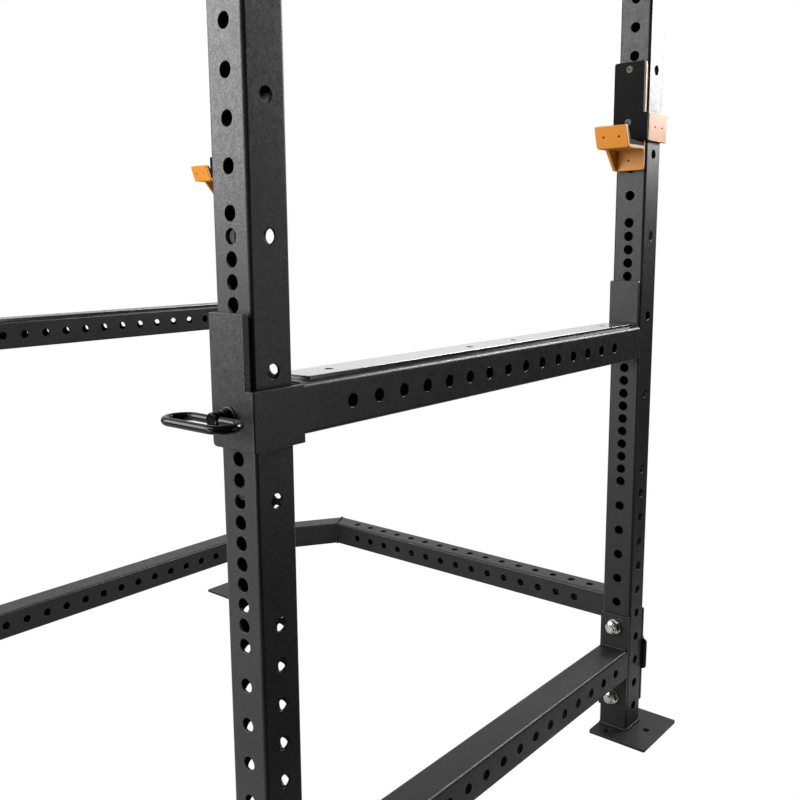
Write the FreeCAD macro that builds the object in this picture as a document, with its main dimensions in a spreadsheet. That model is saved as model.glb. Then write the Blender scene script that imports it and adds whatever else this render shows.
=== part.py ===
"""Power cage: four perforated uprights, bolted crossmembers, pinned safety beams and bar cups.

The cage stands on the floor (z = 0).  +X is its right side and +Y its rear, where the base
crossmember bows out.  The origin is at the middle of the footprint.  All sizes are in mm.
"""
import FreeCAD, Part
import math
import os
import re

import Sketcher
from FreeCAD import Placement, Rotation, Vector

DIMENSIONS = (
    # Tubes
    ("tube_size", 60.0, "outside width of every square tube"),
    ("tube_wall", 3.0, "wall of every tube"),
    ("tube_corner", 5.0, "outside corner radius of a tube"),
    ("hole_radius", 8.75, "round holes in the tubes"),
    ("spacing_x", 1160.0, "upright axis to upright axis, across the cage"),
    ("spacing_y", 970.0, "upright axis to upright axis, front to rear"),
    ("upright_top", 2196.0, "height of the uprights' cut ends"),
    # Rows of holes up an upright
    ("dense_pitch", 25.0, "hole pitch in the middle zone"),
    ("wide_pitch", 50.0, "hole pitch elsewhere"),
    ("lower_first", 75.0, "height of the lowest front hole"),
    ("lower_count", 9, "front holes below the middle zone"),
    ("dense_first", 525.0, "height of the lowest hole of the middle zone"),
    ("dense_count", 21, "holes in the middle zone"),
    ("upper_first", 1075.0, "height of the first front hole above the middle zone"),
    ("upper_count", 22, "front holes above the middle zone"),
    ("side_low_first", 50.0, "height of the lowest side hole"),
    ("side_low_count", 10, "side holes near the floor"),
    ("side_mid_pitch", 150.0, "side hole pitch in the middle"),
    ("side_mid_first", 550.0, "height of the first middle side hole"),
    ("side_mid_count", 10, "side holes in the middle"),
    ("side_top_first", 1950.0, "height of the first side hole near the top"),
    ("side_top_count", 5, "side holes near the top"),
    # Feet and caps
    ("foot_thickness", 6.0, "foot plate"),
    ("foot_length", 150.0, "foot plate, front to rear"),
    ("foot_width", 120.0, "foot plate, side to side, flush with the upright's inner face"),
    ("foot_corner", 4.0, "foot plate's corner radius"),
    ("anchor_radius", 6.5, "floor bolt holes"),
    ("anchor_side", 60.0, "outer floor hole, out from the upright's axis"),
    ("anchor_pitch", 105.0, "front floor hole to rear floor hole"),
    ("cap_lip", 4.0, "end cap above the tube"),
    ("cap_depth", 22.0, "end cap inside the tube"),
    ("cap_fit", 0.3, "end cap to the tube's inner wall"),
    # Crossmembers
    ("base_height", 150.0, "axis of the base crossmembers"),
    ("crown_height", 2050.0, "axis of the top crossmembers"),
    ("flange_thickness", 6.0, "bolted flanges"),
    ("flange_height", 200.0, "flanges bolted front to rear"),
    ("flange_bolts", 150.0, "bolt spacing on them"),
    ("cross_flange_height", 160.0, "flanges bolted side to side"),
    ("cross_flange_bolts", 100.0, "bolt spacing on them"),
    ("side_holes", 17, "holes along a side crossmember"),
    ("crown_holes", 19, "holes along the rear top crossmember"),
    ("bow_reach", 250.0, "rear upright's axis to the axis of the bow's middle length"),
    ("bow_half", 446.0, "middle plane to the bow's corner"),
    ("bow_rear_holes", 15, "holes through the bow, front to rear"),
    ("bow_top_holes", 16, "holes through the bow, top to bottom"),
    ("bar_radius", 16.0, "pull-up bar"),
    # Fasteners
    ("bolt_radius", 8.0, "M16 bolts"),
    ("hex_flats", 24.0, "bolt head and nut, across flats"),
    ("head_thickness", 10.0, "bolt head"),
    ("nut_thickness", 14.0, "nut"),
    ("bolt_tail", 3.0, "thread past the nut"),
    ("washer_radius", 15.0, "washer"),
    ("washer_thickness", 3.0, "washer"),
    ("thread_gap", 0.1, "nut and washer to the bolt"),
    # Safeties
    ("pin_height", 800.0, "the upright holes that hold a safety"),
    ("beam_height", 801.0, "axis of a safety beam"),
    ("beam_width", 70.0, "safety beam, side to side"),
    ("beam_holes", 15, "holes along a safety beam"),
    ("beam_first", 126.0, "front upright's axis to the beam's first hole"),
    ("bracket_face", 42.0, "upright's axis to a bracket's outer face"),
    ("bracket_plate", 8.0, "bracket plates"),
    ("bracket_half", 29.0, "half width of a tall plate"),
    ("bracket_low", 764.0, "bottom edge of the brackets"),
    ("bracket_mid", 832.0, "top edge of the wrapped part"),
    ("bracket_top", 917.0, "top edge of the tall plates"),
    ("bracket_round", 2.0, "rounding of the brackets' edges"),
    ("back_plate", 6.0, "bracket plate behind the front upright"),
    ("plate_gap", 1.0, "brackets to an upright"),
    ("bracket_liner", 3.0, "liners inside the brackets"),
    ("liner_inset", 4.0, "liner's edge to its plate's edge"),
    ("strip_width", 54.0, "plastic strip on a beam"),
    ("strip_thickness", 6.0, "plastic strip on a beam"),
    ("strip_shift", 4.0, "strip's offset towards the inside"),
    ("strip_front", 27.0, "beam's front end to the strips"),
    ("strip_rear", 16.0, "strips to the beam's rear end"),
    ("strip_screw", 60.0, "strip's end to its screw"),
    ("screw_radius", 3.0, "screw shanks"),
    ("screw_head", 6.5, "countersunk screw heads, radius"),
    ("screw_sink", 3.5, "countersunk screw heads, depth"),
    ("screw_length", 14.0, "screws on the beams"),
    ("boss_radius", 11.0, "boss for the pull pin"),
    ("boss_length", 12.0, "boss for the pull pin"),
    ("pin_radius", 8.0, "pull pin and pegs"),
    ("pin_fit", 0.05, "radial play of the pull pin in its boss"),
    ("pin_end", 36.0, "upright's axis to the pull pin's tip"),
    ("pin_point", 3.0, "chamfer at the tips of pins and pegs"),
    ("pin_neck", 0.5, "boss to the pull pin's head"),
    ("pin_head_radius", 9.5, "pull pin's head"),
    ("pin_head_length", 13.0, "pull pin's head"),
    ("link_rod", 5.0, "radius of the handle's round bar"),
    ("link_fit", 0.05, "handle to its hole in the pin's head"),
    ("link_bend", 19.0, "bend radius of the handle, at the bar's axis"),
    ("link_straight", 33.0, "half length of the handle's straights"),
    ("peg_length", 50.0, "safety's peg, past its liner"),
    # Bar cups
    ("cup_peg_height", 1275.0, "the upright holes that hold a bar cup"),
    ("cup_peg_length", 50.0, "cup's peg, past its liner"),
    ("cup_top", 1312.0, "top of a bar cup"),
    ("cup_wide_top", 1222.0, "top of its wide part"),
    ("cup_liner_low", 1172.0, "bottom of the face liner and the side plate"),
    ("cup_seat", 1156.0, "underside of the seat"),
    ("cup_low", 1120.0, "bottom of a bar cup"),
    ("cup_plate", 6.0, "steel of a bar cup"),
    ("cup_half", 31.0, "half width of the seat and the lip"),
    ("cup_tall_half", 29.0, "half width of the back plate"),
    ("cup_side_gap", 2.0, "side plate to the upright"),
    ("cup_gap", 0.4, "rear liner to the upright"),
    ("cup_rear_liner", 4.6, "liner against the upright"),
    ("cup_face_liner", 8.0, "liner on the back plate and the seat"),
    ("cup_reach", 106.0, "upright's axis to the foot of the lip"),
    ("cup_lip_height", 37.0, "lip, above the seat's underside"),
    ("cup_lip_lean", 13.0, "how far the lip leans out at the top"),
    ("cup_lip_liner", 5.0, "liner on the lip"),
    ("cup_side_depth", 36.0, "side plate, past the upright's axis"),
    ("cup_web_depth", 37.0, "gusset, out from the back plate"),
    ("cup_web_foot", 4.0, "gusset's depth at its lower end"),
    ("cup_round", 4.0, "rounded corners of the cup's plates"),
    ("cup_upper_screw", 1299.0, "upper screw of the face liner"),
    ("cup_lower_screw", 1206.0, "lower screw of the face liner"),
    ("small_hole", 2.0, "small holes in the cup's plates, radius"),
    ("small_pitch", 30.0, "spacing of a pair of small holes"),
)

SIDES = (("right", 1), ("left", -1))
UPRIGHT_X = "spacing_x / 2"
HANDLE_REACH = ("(bracket_face + boss_length + pin_neck + pin_head_length / 2"
                " + 2 * link_bend + link_rod)")
FRONT_Y = f"({HANDLE_REACH} - bow_reach - tube_size / 2 - spacing_y) / 2"
REAR_Y = f"({FRONT_Y} + spacing_y)"
HALF_TUBE = "tube_size / 2"
SOFT_TIP = "pin_radius - pin_point"

NONE = "0 * tube_size"

UNTURNED = Rotation()
TO_X = Rotation(Vector(0, 1, 0), 90)
TO_MINUS_X = Rotation(Vector(0, 1, 0), -90)
TO_Y = Rotation(Vector(1, 0, 0), -90)
TO_MINUS_Y = Rotation(Vector(1, 0, 0), 90)
TURNS = {("x", 1): TO_X, ("x", -1): TO_MINUS_X, ("y", 1): TO_Y, ("y", -1): TO_MINUS_Y}

doc = FreeCAD.newDocument("PowerCage")
sheet = doc.addObject("Spreadsheet::Sheet", "Dimensions")
for row, (alias, value, note) in enumerate(DIMENSIONS, start=1):
    sheet.set(f"A{row}", alias)
    sheet.set(f"B{row}", str(value))
    sheet.set(f"C{row}", note)
    sheet.setAlias(f"B{row}", alias)
doc.recompute()

ALIASES = {alias for alias, value, note in DIMENSIONS}
NODES = []


# ---------------------------------------------------------------- tools

def bound(text):
    """Turns an expression in plain aliases into one that reads the sheet."""
    def from_sheet(word):
        return f"Dimensions.{word[0]}" if word[0] in ALIASES else word[0]
    return re.sub(r"[a-z_]+", from_sheet, text)


def amount(text):
    """The present value of such an expression, as a plain number."""
    value = sheet.evalExpression(bound(text))
    return float(getattr(value, "Value", value))


def place(item, point, turn=UNTURNED):
    """Puts an object at a point given by three expressions."""
    item.Placement = Placement(Vector(), turn)
    for axis, text in zip("xyz", point):
        item.setExpression(f"Placement.Base.{axis}", bound(text))
    return item


def node(item, label):
    """Keeps an object as a sub-part of the cage."""
    item.Label = label
    NODES.append(item)
    return item


def block(name, x_span, y_span, z_span):
    """A box between pairs of expressions."""
    box = doc.addObject("Part::Box", name)
    spans = (x_span, y_span, z_span)
    for side, (low, high) in zip(("Length", "Width", "Height"), spans):
        box.setExpression(side, bound(f"({high}) - ({low})"))
    return place(box, [low for low, high in spans])


def rod(name, radius, length, point, turn=UNTURNED):
    """A cylinder that starts at a point and runs along the turned Z axis."""
    cylinder = doc.addObject("Part::Cylinder", name)
    cylinder.setExpression("Radius", bound(radius))
    cylinder.setExpression("Height", bound(length))
    return place(cylinder, point, turn)


def cone(name, radius, end_radius, length, point, turn=UNTURNED):
    """A cone that starts at a point and runs along the turned Z axis."""
    shape = doc.addObject("Part::Cone", name)
    shape.setExpression("Radius1", bound(radius))
    shape.setExpression("Radius2", bound(end_radius))
    shape.setExpression("Height", bound(length))
    return place(shape, point, turn)


def fuse(name, items):
    """One solid from several that meet."""
    joined = doc.addObject("Part::MultiFuse", name)
    joined.Shapes = items
    joined.Refine = True
    return joined


def group(name, items):
    """Several separate solids kept as one object."""
    gathered = doc.addObject("Part::Compound", name)
    gathered.Links = items
    return gathered


def cut(name, base, tools):
    """The base with every tool taken away."""
    result = doc.addObject("Part::Cut", name)
    result.Base = base
    result.Tool = tools[0] if len(tools) == 1 else group(f"{name}_tools", tools)
    return result


def overlap(name, first, second):
    """What two solids share."""
    shared = doc.addObject("Part::Common", name)
    shared.Base = first
    shared.Tool = second
    return shared


def prism(name, role, corners, length):
    """A straight-sided outline on one of the body's origin planes, made solid."""
    body = doc.addObject("PartDesign::Body", name)
    sketch = new_sketch(body, f"{name}_outline", role)
    points = [Vector(amount(across), amount(along), 0) for across, along in corners]
    for start, end in zip(points, points[1:] + points[:1]):
        sketch.addGeometry(Part.LineSegment(start, end))
    for index, (across, along) in enumerate(corners):
        sketch.addConstraint(
            Sketcher.Constraint("Coincident", index, 2, (index + 1) % len(corners), 1))
        limit(sketch, "DistanceX", (-1, 1, index, 1), across)
        limit(sketch, "DistanceY", (-1, 1, index, 1), along)
    pad = body.newObject("PartDesign::Pad", f"{name}_pad")
    pad.Profile = sketch
    pad.setExpression("Length", bound(length))
    return body


def round_edges(name, base, radius, chosen):
    """Rounds the base's straight edges for which chosen(start, end) is true."""
    doc.recompute()
    size = amount(radius)
    edges = []
    for index, edge in enumerate(base.Shape.Edges, start=1):
        ends = [vertex.Point for vertex in edge.Vertexes]
        if edge.Curve.TypeId == "Part::GeomLine" and chosen(*ends):
            edges.append((index, size, size))
    rounded = doc.addObject("Part::Fillet", name)
    rounded.Base = base
    rounded.Edges = edges
    return rounded


def origin_feature(body, role):
    """The body's own origin plane or axis with this role."""
    return [item for item in body.Origin.OriginFeatures if item.Role == role][0]


def new_sketch(body, name, role):
    """An empty sketch on one of the body's origin planes."""
    sketch = body.newObject("Sketcher::SketchObject", name)
    sketch.AttachmentSupport = [(origin_feature(body, role), "")]
    sketch.MapMode = "FlatFace"
    return sketch


def limit(sketch, kind, items, text):
    """Adds a dimension to a sketch and binds it to the sheet."""
    index = sketch.addConstraint(Sketcher.Constraint(kind, *items, amount(text)))
    sketch.setExpression(f"Constraints[{index}]", bound(text))


def add_rounded_rectangle(sketch, width, height, radius):
    """Draws a rectangle with round corners, centred on the sketch's origin."""
    corner = amount(radius)
    arc_x = amount(width) / 2 - corner
    arc_y = amount(height) / 2 - corner
    first = sketch.GeometryCount
    for quarter, (sign_x, sign_y) in enumerate(((1, 1), (-1, 1), (-1, -1), (1, -1))):
        centre = Vector(sign_x * arc_x, sign_y * arc_y, 0)
        circle = Part.Circle(centre, Vector(0, 0, 1), corner)
        start = quarter * math.pi / 2
        sketch.addGeometry(Part.ArcOfCircle(circle, start, start + math.pi / 2))
    for quarter in range(4):
        arc_end = sketch.Geometry[first + quarter].EndPoint
        next_start = sketch.Geometry[first + (quarter + 1) % 4].StartPoint
        sketch.addGeometry(Part.LineSegment(arc_end, next_start))
    for quarter in range(4):
        arc = first + quarter
        line = first + 4 + quarter
        next_arc = first + (quarter + 1) % 4
        sketch.addConstraint(Sketcher.Constraint("Tangent", arc, 2, line, 1))
        sketch.addConstraint(Sketcher.Constraint("Tangent", line, 2, next_arc, 1))
        level = "Horizontal" if quarter % 2 == 0 else "Vertical"
        sketch.addConstraint(Sketcher.Constraint(level, line))
        if quarter:
            sketch.addConstraint(Sketcher.Constraint("Equal", first, arc))
    sketch.addConstraint(Sketcher.Constraint("Symmetric", first, 3, first + 2, 3, -1, 1))
    limit(sketch, "Radius", (first,), radius)
    limit(sketch, "DistanceX", (first + 1, 3, first, 3), f"({width}) - 2 * ({radius})")
    limit(sketch, "DistanceY", (first + 3, 3, first, 3), f"({height}) - 2 * ({radius})")


def add_circle(sketch, across, along, radius):
    """Draws a circle at a place given by two expressions."""
    centre = Vector(amount(across), amount(along), 0)
    index = sketch.addGeometry(Part.Circle(centre, Vector(0, 0, 1), amount(radius)))
    limit(sketch, "Radius", (index,), radius)
    limit(sketch, "DistanceX", (-1, 1, index, 3), across)
    limit(sketch, "DistanceY", (-1, 1, index, 3), along)


def tube(name, width, height, length, rows):
    """A rectangular tube along the body's Z axis, with rows of holes through both walls.

    Each row is (plane that the holes cross, first hole, pitch, count).
    """
    body = doc.addObject("PartDesign::Body", name)
    profile = new_sketch(body, f"{name}_section", "XY_Plane")
    add_rounded_rectangle(profile, width, height, "tube_corner")
    inside = "2 * tube_wall"
    add_rounded_rectangle(profile, f"{width} - {inside}", f"{height} - {inside}",
                          "tube_corner - tube_wall")
    pad = body.newObject("PartDesign::Pad", f"{name}_pad")
    pad.Profile = profile
    pad.setExpression("Length", bound(length))
    doc.recompute()
    for index, (plane, first_hole, pitch, count) in enumerate(rows):
        circle = new_sketch(body, f"{name}_hole_{index}", plane)
        add_circle(circle, NONE, first_hole, "hole_radius")
        pocket = body.newObject("PartDesign::Pocket", f"{name}_pocket_{index}")
        pocket.Profile = circle
        pocket.SideType = "Symmetric"
        pocket.Type = "ThroughAll"
        pocket.Refine = False
        volume = body.Shape.Volume
        doc.recompute()
        if not body.Shape.Volume < volume:
            raise ValueError(f"{name}: hole row {index} removes nothing")
        pattern = body.newObject("PartDesign::LinearPattern", f"{name}_row_{index}")
        pattern.Originals = [pocket]
        pattern.Direction = (origin_feature(body, "Z_Axis"), [""])
        pattern.setExpression("Length", bound(f"({pitch}) * ({count} - 1)"))
        pattern.setExpression("Occurrences", bound(count))
        pattern.Refine = False
        body.Tip = pattern
        doc.recompute()
    return body


def outward(side, low, high):
    """The X span from low to high, measured outwards from an upright's axis."""
    if side > 0:
        return f"{UPRIGHT_X} + ({low})", f"{UPRIGHT_X} + ({high})"
    return f"-({UPRIGHT_X}) - ({high})", f"-({UPRIGHT_X}) - ({low})"


def outward_point(side, distance):
    """The X place at a distance outwards from an upright's axis."""
    return f"{side} * ({UPRIGHT_X} + ({distance}))"


# ---------------------------------------------------------------- uprights and feet

def make_upright(side_name, side, end_name, axis_y):
    label = f"upright_{side_name}_{end_name}"
    above_foot = "{} - foot_thickness"
    rows = (
        ("XZ_Plane", above_foot.format("lower_first"), "wide_pitch", "lower_count"),
        ("XZ_Plane", above_foot.format("dense_first"), "dense_pitch", "dense_count"),
        ("XZ_Plane", above_foot.format("upper_first"), "wide_pitch", "upper_count"),
        ("YZ_Plane", above_foot.format("side_low_first"), "wide_pitch", "side_low_count"),
        ("YZ_Plane", above_foot.format("side_mid_first"), "side_mid_pitch", "side_mid_count"),
        ("YZ_Plane", above_foot.format("side_top_first"), "wide_pitch", "side_top_count"),
    )
    body = tube(label, "tube_size", "tube_size", "upright_top - foot_thickness", rows)
    place(body, (outward_point(side, "0"), axis_y, "foot_thickness"))
    node(body, label)


def make_foot(side_name, side, end_name, axis_y):
    label = f"foot_plate_{side_name}_{end_name}"
    body = doc.addObject("PartDesign::Body", label)
    outline = new_sketch(body, f"{label}_outline", "XY_Plane")
    add_rounded_rectangle(outline, "foot_width", "foot_length", "foot_corner")
    to_axis = f"{side} * (foot_width / 2 - {HALF_TUBE})"
    add_circle(outline, f"{side} * anchor_side - ({to_axis})", NONE, "anchor_radius")
    for end in (-1, 1):
        add_circle(outline, f"0 - ({to_axis})", f"{end} * anchor_pitch / 2", "anchor_radius")
    pad = body.newObject("PartDesign::Pad", f"{label}_pad")
    pad.Profile = outline
    pad.setExpression("Length", bound("foot_thickness"))
    place(body, (outward_point(side, f"foot_width / 2 - {HALF_TUBE}"), axis_y, NONE))
    node(body, label)


def make_cap(side_name, side, end_name, axis_y):
    name = f"cap_{side_name}_{end_name}"
    inner = f"{HALF_TUBE} - tube_wall - cap_fit"
    half = HALF_TUBE
    lip = block(f"{name}_lip", outward(side, f"-{half}", half),
                (f"{axis_y} - {half}", f"{axis_y} + {half}"),
                ("upright_top", "upright_top + cap_lip"))
    plug = block(f"{name}_plug", outward(side, f"-({inner})", inner),
                 (f"{axis_y} - ({inner})", f"{axis_y} + {inner}"),
                 ("upright_top - cap_depth", "upright_top"))
    top = amount("upright_top + cap_lip")

    def is_vertical(start, end):
        return abs(start.z - end.z) > 1

    def on_lip(start, end):
        return max(start.z, end.z) > top - 0.01
    round_plug = round_edges(f"{name}_round_plug", plug, "tube_corner - tube_wall", is_vertical)
    return round_edges(name, fuse(f"{name}_plain", [lip, round_plug]), "tube_wall", on_lip)


caps = []
for side_name, side in SIDES:
    for end_name, axis_y in (("front", FRONT_Y), ("rear", REAR_Y)):
        make_upright(side_name, side, end_name, axis_y)
        make_foot(side_name, side, end_name, axis_y)
        caps.append(make_cap(side_name, side, end_name, axis_y))
node(group("upright_caps", caps), "upright_caps")


# ---------------------------------------------------------------- crossmembers

def make_side_crossmember(side_name, side, level_name, height):
    """A tube between the front and rear uprights, with a bolted flange at each end."""
    label = f"side_{level_name}_{side_name}"
    start = f"{FRONT_Y} + {HALF_TUBE} + flange_thickness"
    length = "spacing_y - tube_size - 2 * flange_thickness"
    first_hole = f"({length} - wide_pitch * (side_holes - 1)) / 2"
    rows = (("YZ_Plane", first_hole, "wide_pitch", "side_holes"),)
    beam = tube(f"{label}_tube", "tube_size", "tube_size", length, rows)
    place(beam, (outward_point(side, "0"), start, height), TO_Y)
    flanges = []
    for end_name, face_y in (("front", f"{FRONT_Y} + {HALF_TUBE}"),
                             ("rear", f"{REAR_Y} - {HALF_TUBE} - flange_thickness")):
        flanges.append(make_flange(f"{label}_{end_name}", side, face_y, height))
    node(group(label, [beam] + flanges), label)


def make_flange(name, side, face_y, height):
    """A flange against an upright's front or rear face, with its two bolt holes."""
    plate = block(f"{name}_plate", outward(side, f"-{HALF_TUBE}", HALF_TUBE),
                  (face_y, f"{face_y} + flange_thickness"),
                  (f"{height} - flange_height / 2", f"{height} + flange_height / 2"))
    holes = []
    for bolt in (-1, 1):
        level = f"{height} + {bolt} * flange_bolts / 2"
        holes.append(rod(f"{name}_hole_{bolt + 1}", "hole_radius", "flange_thickness",
                         (outward_point(side, "0"), face_y, level), TO_Y))
    return cut(f"{name}_flange", plate, holes)


def make_cross_flange(name, side, axis_y):
    """A flange against an upright's inner face, with its two bolt holes."""
    inner_face = f"-{HALF_TUBE}"
    half = "cross_flange_height / 2"
    plate = block(f"{name}_plate", outward(side, f"{inner_face} - flange_thickness", inner_face),
                  (f"{axis_y} - {HALF_TUBE}", f"{axis_y} + {HALF_TUBE}"),
                  (f"crown_height - {half}", f"crown_height + {half}"))
    holes = []
    for bolt in (-1, 1):
        level = f"crown_height + {bolt} * cross_flange_bolts / 2"
        inside = outward_point(side, f"{inner_face} - flange_thickness")
        holes.append(rod(f"{name}_hole_{bolt + 1}", "hole_radius", "flange_thickness",
                         (inside, axis_y, level), TURNS["x", side]))
    return cut(f"{name}_flange", plate, holes)


def make_bow():
    """The base crossmember behind the cage: three mitred lengths and two flanges."""
    axis_y = f"({REAR_Y} + bow_reach)"
    flange_y = f"({REAR_Y} + {HALF_TUBE} + flange_thickness)"
    out = f"(bow_reach - {HALF_TUBE} - flange_thickness)"
    aside = f"({UPRIGHT_X} - bow_half)"
    lean = f"(tube_size * tan(atan({out} / {aside}) / 2))"
    behind = f"{axis_y} + tube_size"
    ahead = f"{axis_y} - tube_size"
    low = "base_height - tube_size"

    length = f"2 * (bow_half + {lean})"
    rows = []
    for plane, count in (("XZ_Plane", "bow_rear_holes"), ("YZ_Plane", "bow_top_holes")):
        rows.append((plane, f"({length} - wide_pitch * ({count} - 1)) / 2", "wide_pitch", count))
    middle = tube("bow_middle_tube", "tube_size", "tube_size", length, rows)
    place(middle, (f"0 - bow_half - {lean}", axis_y, "base_height"), TO_X)
    outline = ((f"bow_half + {lean}", behind), (f"0 - bow_half - {lean}", behind),
               (f"{lean} - bow_half", ahead), (f"bow_half - {lean}", ahead))
    limits = prism("bow_middle_limits", "XY_Plane", outline, "2 * tube_size")
    pieces = [overlap("bow_middle", middle, place(limits, (NONE, NONE, low)))]

    for side_name, side in SIDES:
        arm = tube(f"bow_arm_tube_{side_name}", "tube_size", "tube_size",
                   f"sqrt({out} * {out} + {aside} * {aside}) + 2 * tube_size", ())
        heading = Vector(side * amount(aside), -amount(out), 0)
        heading.normalize()
        turn = Rotation(heading.cross(Vector(0, 0, 1)), Vector(0, 0, 1), heading, "ZXY")
        start = Vector(side * amount("bow_half"), amount(axis_y), amount("base_height"))
        arm.Placement = Placement(start - heading * amount("tube_size"), turn)
        edge = f"{UPRIGHT_X} + tube_size"
        outline = ((f"{side} * (bow_half + {lean})", behind),
                   (f"{side} * (bow_half - {lean})", ahead),
                   (f"{side} * (bow_half - {lean})", flange_y),
                   (f"{side} * ({edge})", flange_y), (f"{side} * ({edge})", behind))
        limits = prism(f"bow_arm_limits_{side_name}", "XY_Plane", outline, "2 * tube_size")
        place(limits, (NONE, NONE, low))
        pieces.append(overlap(f"bow_arm_{side_name}", arm, limits))
        pieces.append(make_flange(f"bow_{side_name}", side, f"{REAR_Y} + {HALF_TUBE}", "base_height"))
    node(group("rear_base_bow", pieces), "rear_base_bow")


def make_rear_top():
    length = "spacing_x - tube_size - 2 * flange_thickness"
    first_hole = f"({length} - wide_pitch * (crown_holes - 1)) / 2"
    beam = tube("rear_top_tube", "tube_size", "tube_size", length,
                (("XZ_Plane", first_hole, "wide_pitch", "crown_holes"),))
    place(beam, (f"0 - ({length}) / 2", REAR_Y, "crown_height"), TO_X)
    flanges = [make_cross_flange(f"rear_top_{name}", side, REAR_Y) for name, side in SIDES]
    node(group("rear_top_crossmember", [beam] + flanges), "rear_top_crossmember")


def make_pull_up_bar():
    length = "spacing_x - tube_size - 2 * flange_thickness"
    bar = rod("pull_up_round", "bar_radius", length,
              (f"0 - ({length}) / 2", FRONT_Y, "crown_height"), TO_X)
    flanges = [make_cross_flange(f"pull_up_{name}", side, FRONT_Y) for name, side in SIDES]
    node(group("pull_up_bar", [bar] + flanges), "pull_up_bar")


for side_name, side in SIDES:
    make_side_crossmember(side_name, side, "base", "base_height")
    make_side_crossmember(side_name, side, "crown", "crown_height")
make_bow()
make_rear_top()
make_pull_up_bar()


# ---------------------------------------------------------------- bolts

def shifted(point, axis, sign, distance):
    """The point moved along x or y by a distance."""
    moved = list(point)
    index = "xyz".index(axis)
    moved[index] = f"{point[index]} + {sign} * ({distance})"
    return moved


def hexagon(name, length, point, turn):
    shape = doc.addObject("Part::Prism", name)
    shape.Polygon = 6
    shape.setExpression("Circumradius", bound("hex_flats / sqrt(3)"))
    shape.setExpression("Height", bound(length))
    return place(shape, point, turn)


def make_bolt(name, seat, axis, sign, grip, bolts):
    """A bolt whose head's washer lies on seat and which runs along the signed axis."""
    turn = TURNS[axis, sign]
    head_face = shifted(seat, axis, -sign, "washer_thickness")
    head = hexagon(f"{name}_head", "head_thickness",
                   shifted(head_face, axis, -sign, "head_thickness"), turn)
    shank = rod(f"{name}_shank", "bolt_radius",
                f"{grip} + 2 * washer_thickness + nut_thickness + bolt_tail", head_face, turn)
    bolts.append(fuse(name, [head, shank]))
    far = shifted(seat, axis, sign, grip)
    bore = "bolt_radius + thread_gap"
    for place_name, start in (("near", head_face), ("far", far)):
        disc = rod(f"{name}_{place_name}_disc", "washer_radius", "washer_thickness", start, turn)
        hole = rod(f"{name}_{place_name}_hole", bore, "washer_thickness", start, turn)
        washers.append(cut(f"{name}_{place_name}_washer", disc, [hole]))
    nut_face = shifted(far, axis, sign, "washer_thickness")
    body = hexagon(f"{name}_nut_body", "nut_thickness", nut_face, turn)
    hole = rod(f"{name}_nut_hole", bore, "nut_thickness", nut_face, turn)
    nuts.append(cut(f"{name}_nut", body, [hole]))


short_bolts = []
long_bolts = []
washers = []
nuts = []
one_flange = "(tube_size + flange_thickness)"
two_flanges = "(tube_size + 2 * flange_thickness)"
for side_name, side in SIDES:
    across = outward_point(side, "0")
    for bolt in (-1, 1):
        tag = f"{side_name}_{'upper' if bolt > 0 else 'lower'}"
        base_z = f"base_height + {bolt} * flange_bolts / 2"
        crown_z = f"crown_height + {bolt} * flange_bolts / 2"
        cross_z = f"crown_height + {bolt} * cross_flange_bolts / 2"
        front_face = f"{FRONT_Y} - {HALF_TUBE}"
        rear_face = f"{REAR_Y} + {HALF_TUBE}"
        make_bolt(f"bolt_base_front_{tag}", (across, front_face, base_z), "y", 1,
                  one_flange, short_bolts)
        make_bolt(f"bolt_crown_front_{tag}", (across, front_face, crown_z), "y", 1,
                  one_flange, short_bolts)
        make_bolt(f"bolt_crown_rear_{tag}", (across, rear_face, crown_z), "y", -1,
                  one_flange, short_bolts)
        make_bolt(f"bolt_base_rear_{tag}", (across, f"{rear_face} + flange_thickness", base_z),
                  "y", -1, two_flanges, long_bolts)
        for end_name, axis_y in (("front", FRONT_Y), ("rear", REAR_Y)):
            outer_face = outward_point(side, HALF_TUBE)
            make_bolt(f"bolt_cross_{end_name}_{tag}", (outer_face, axis_y, cross_z),
                      "x", -side, one_flange, short_bolts)
node(group("bolts_short", short_bolts), "bolts_short")
node(group("bolts_long", long_bolts), "bolts_long")
node(group("nuts", nuts), "nuts")
node(group("washers", washers), "washers")


# ---------------------------------------------------------------- safeties

def ahead_of(axis_y):
    """Gives Y places as distances behind an upright's axis."""
    def at(distance):
        return f"{axis_y} + ({distance})"
    return at


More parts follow.
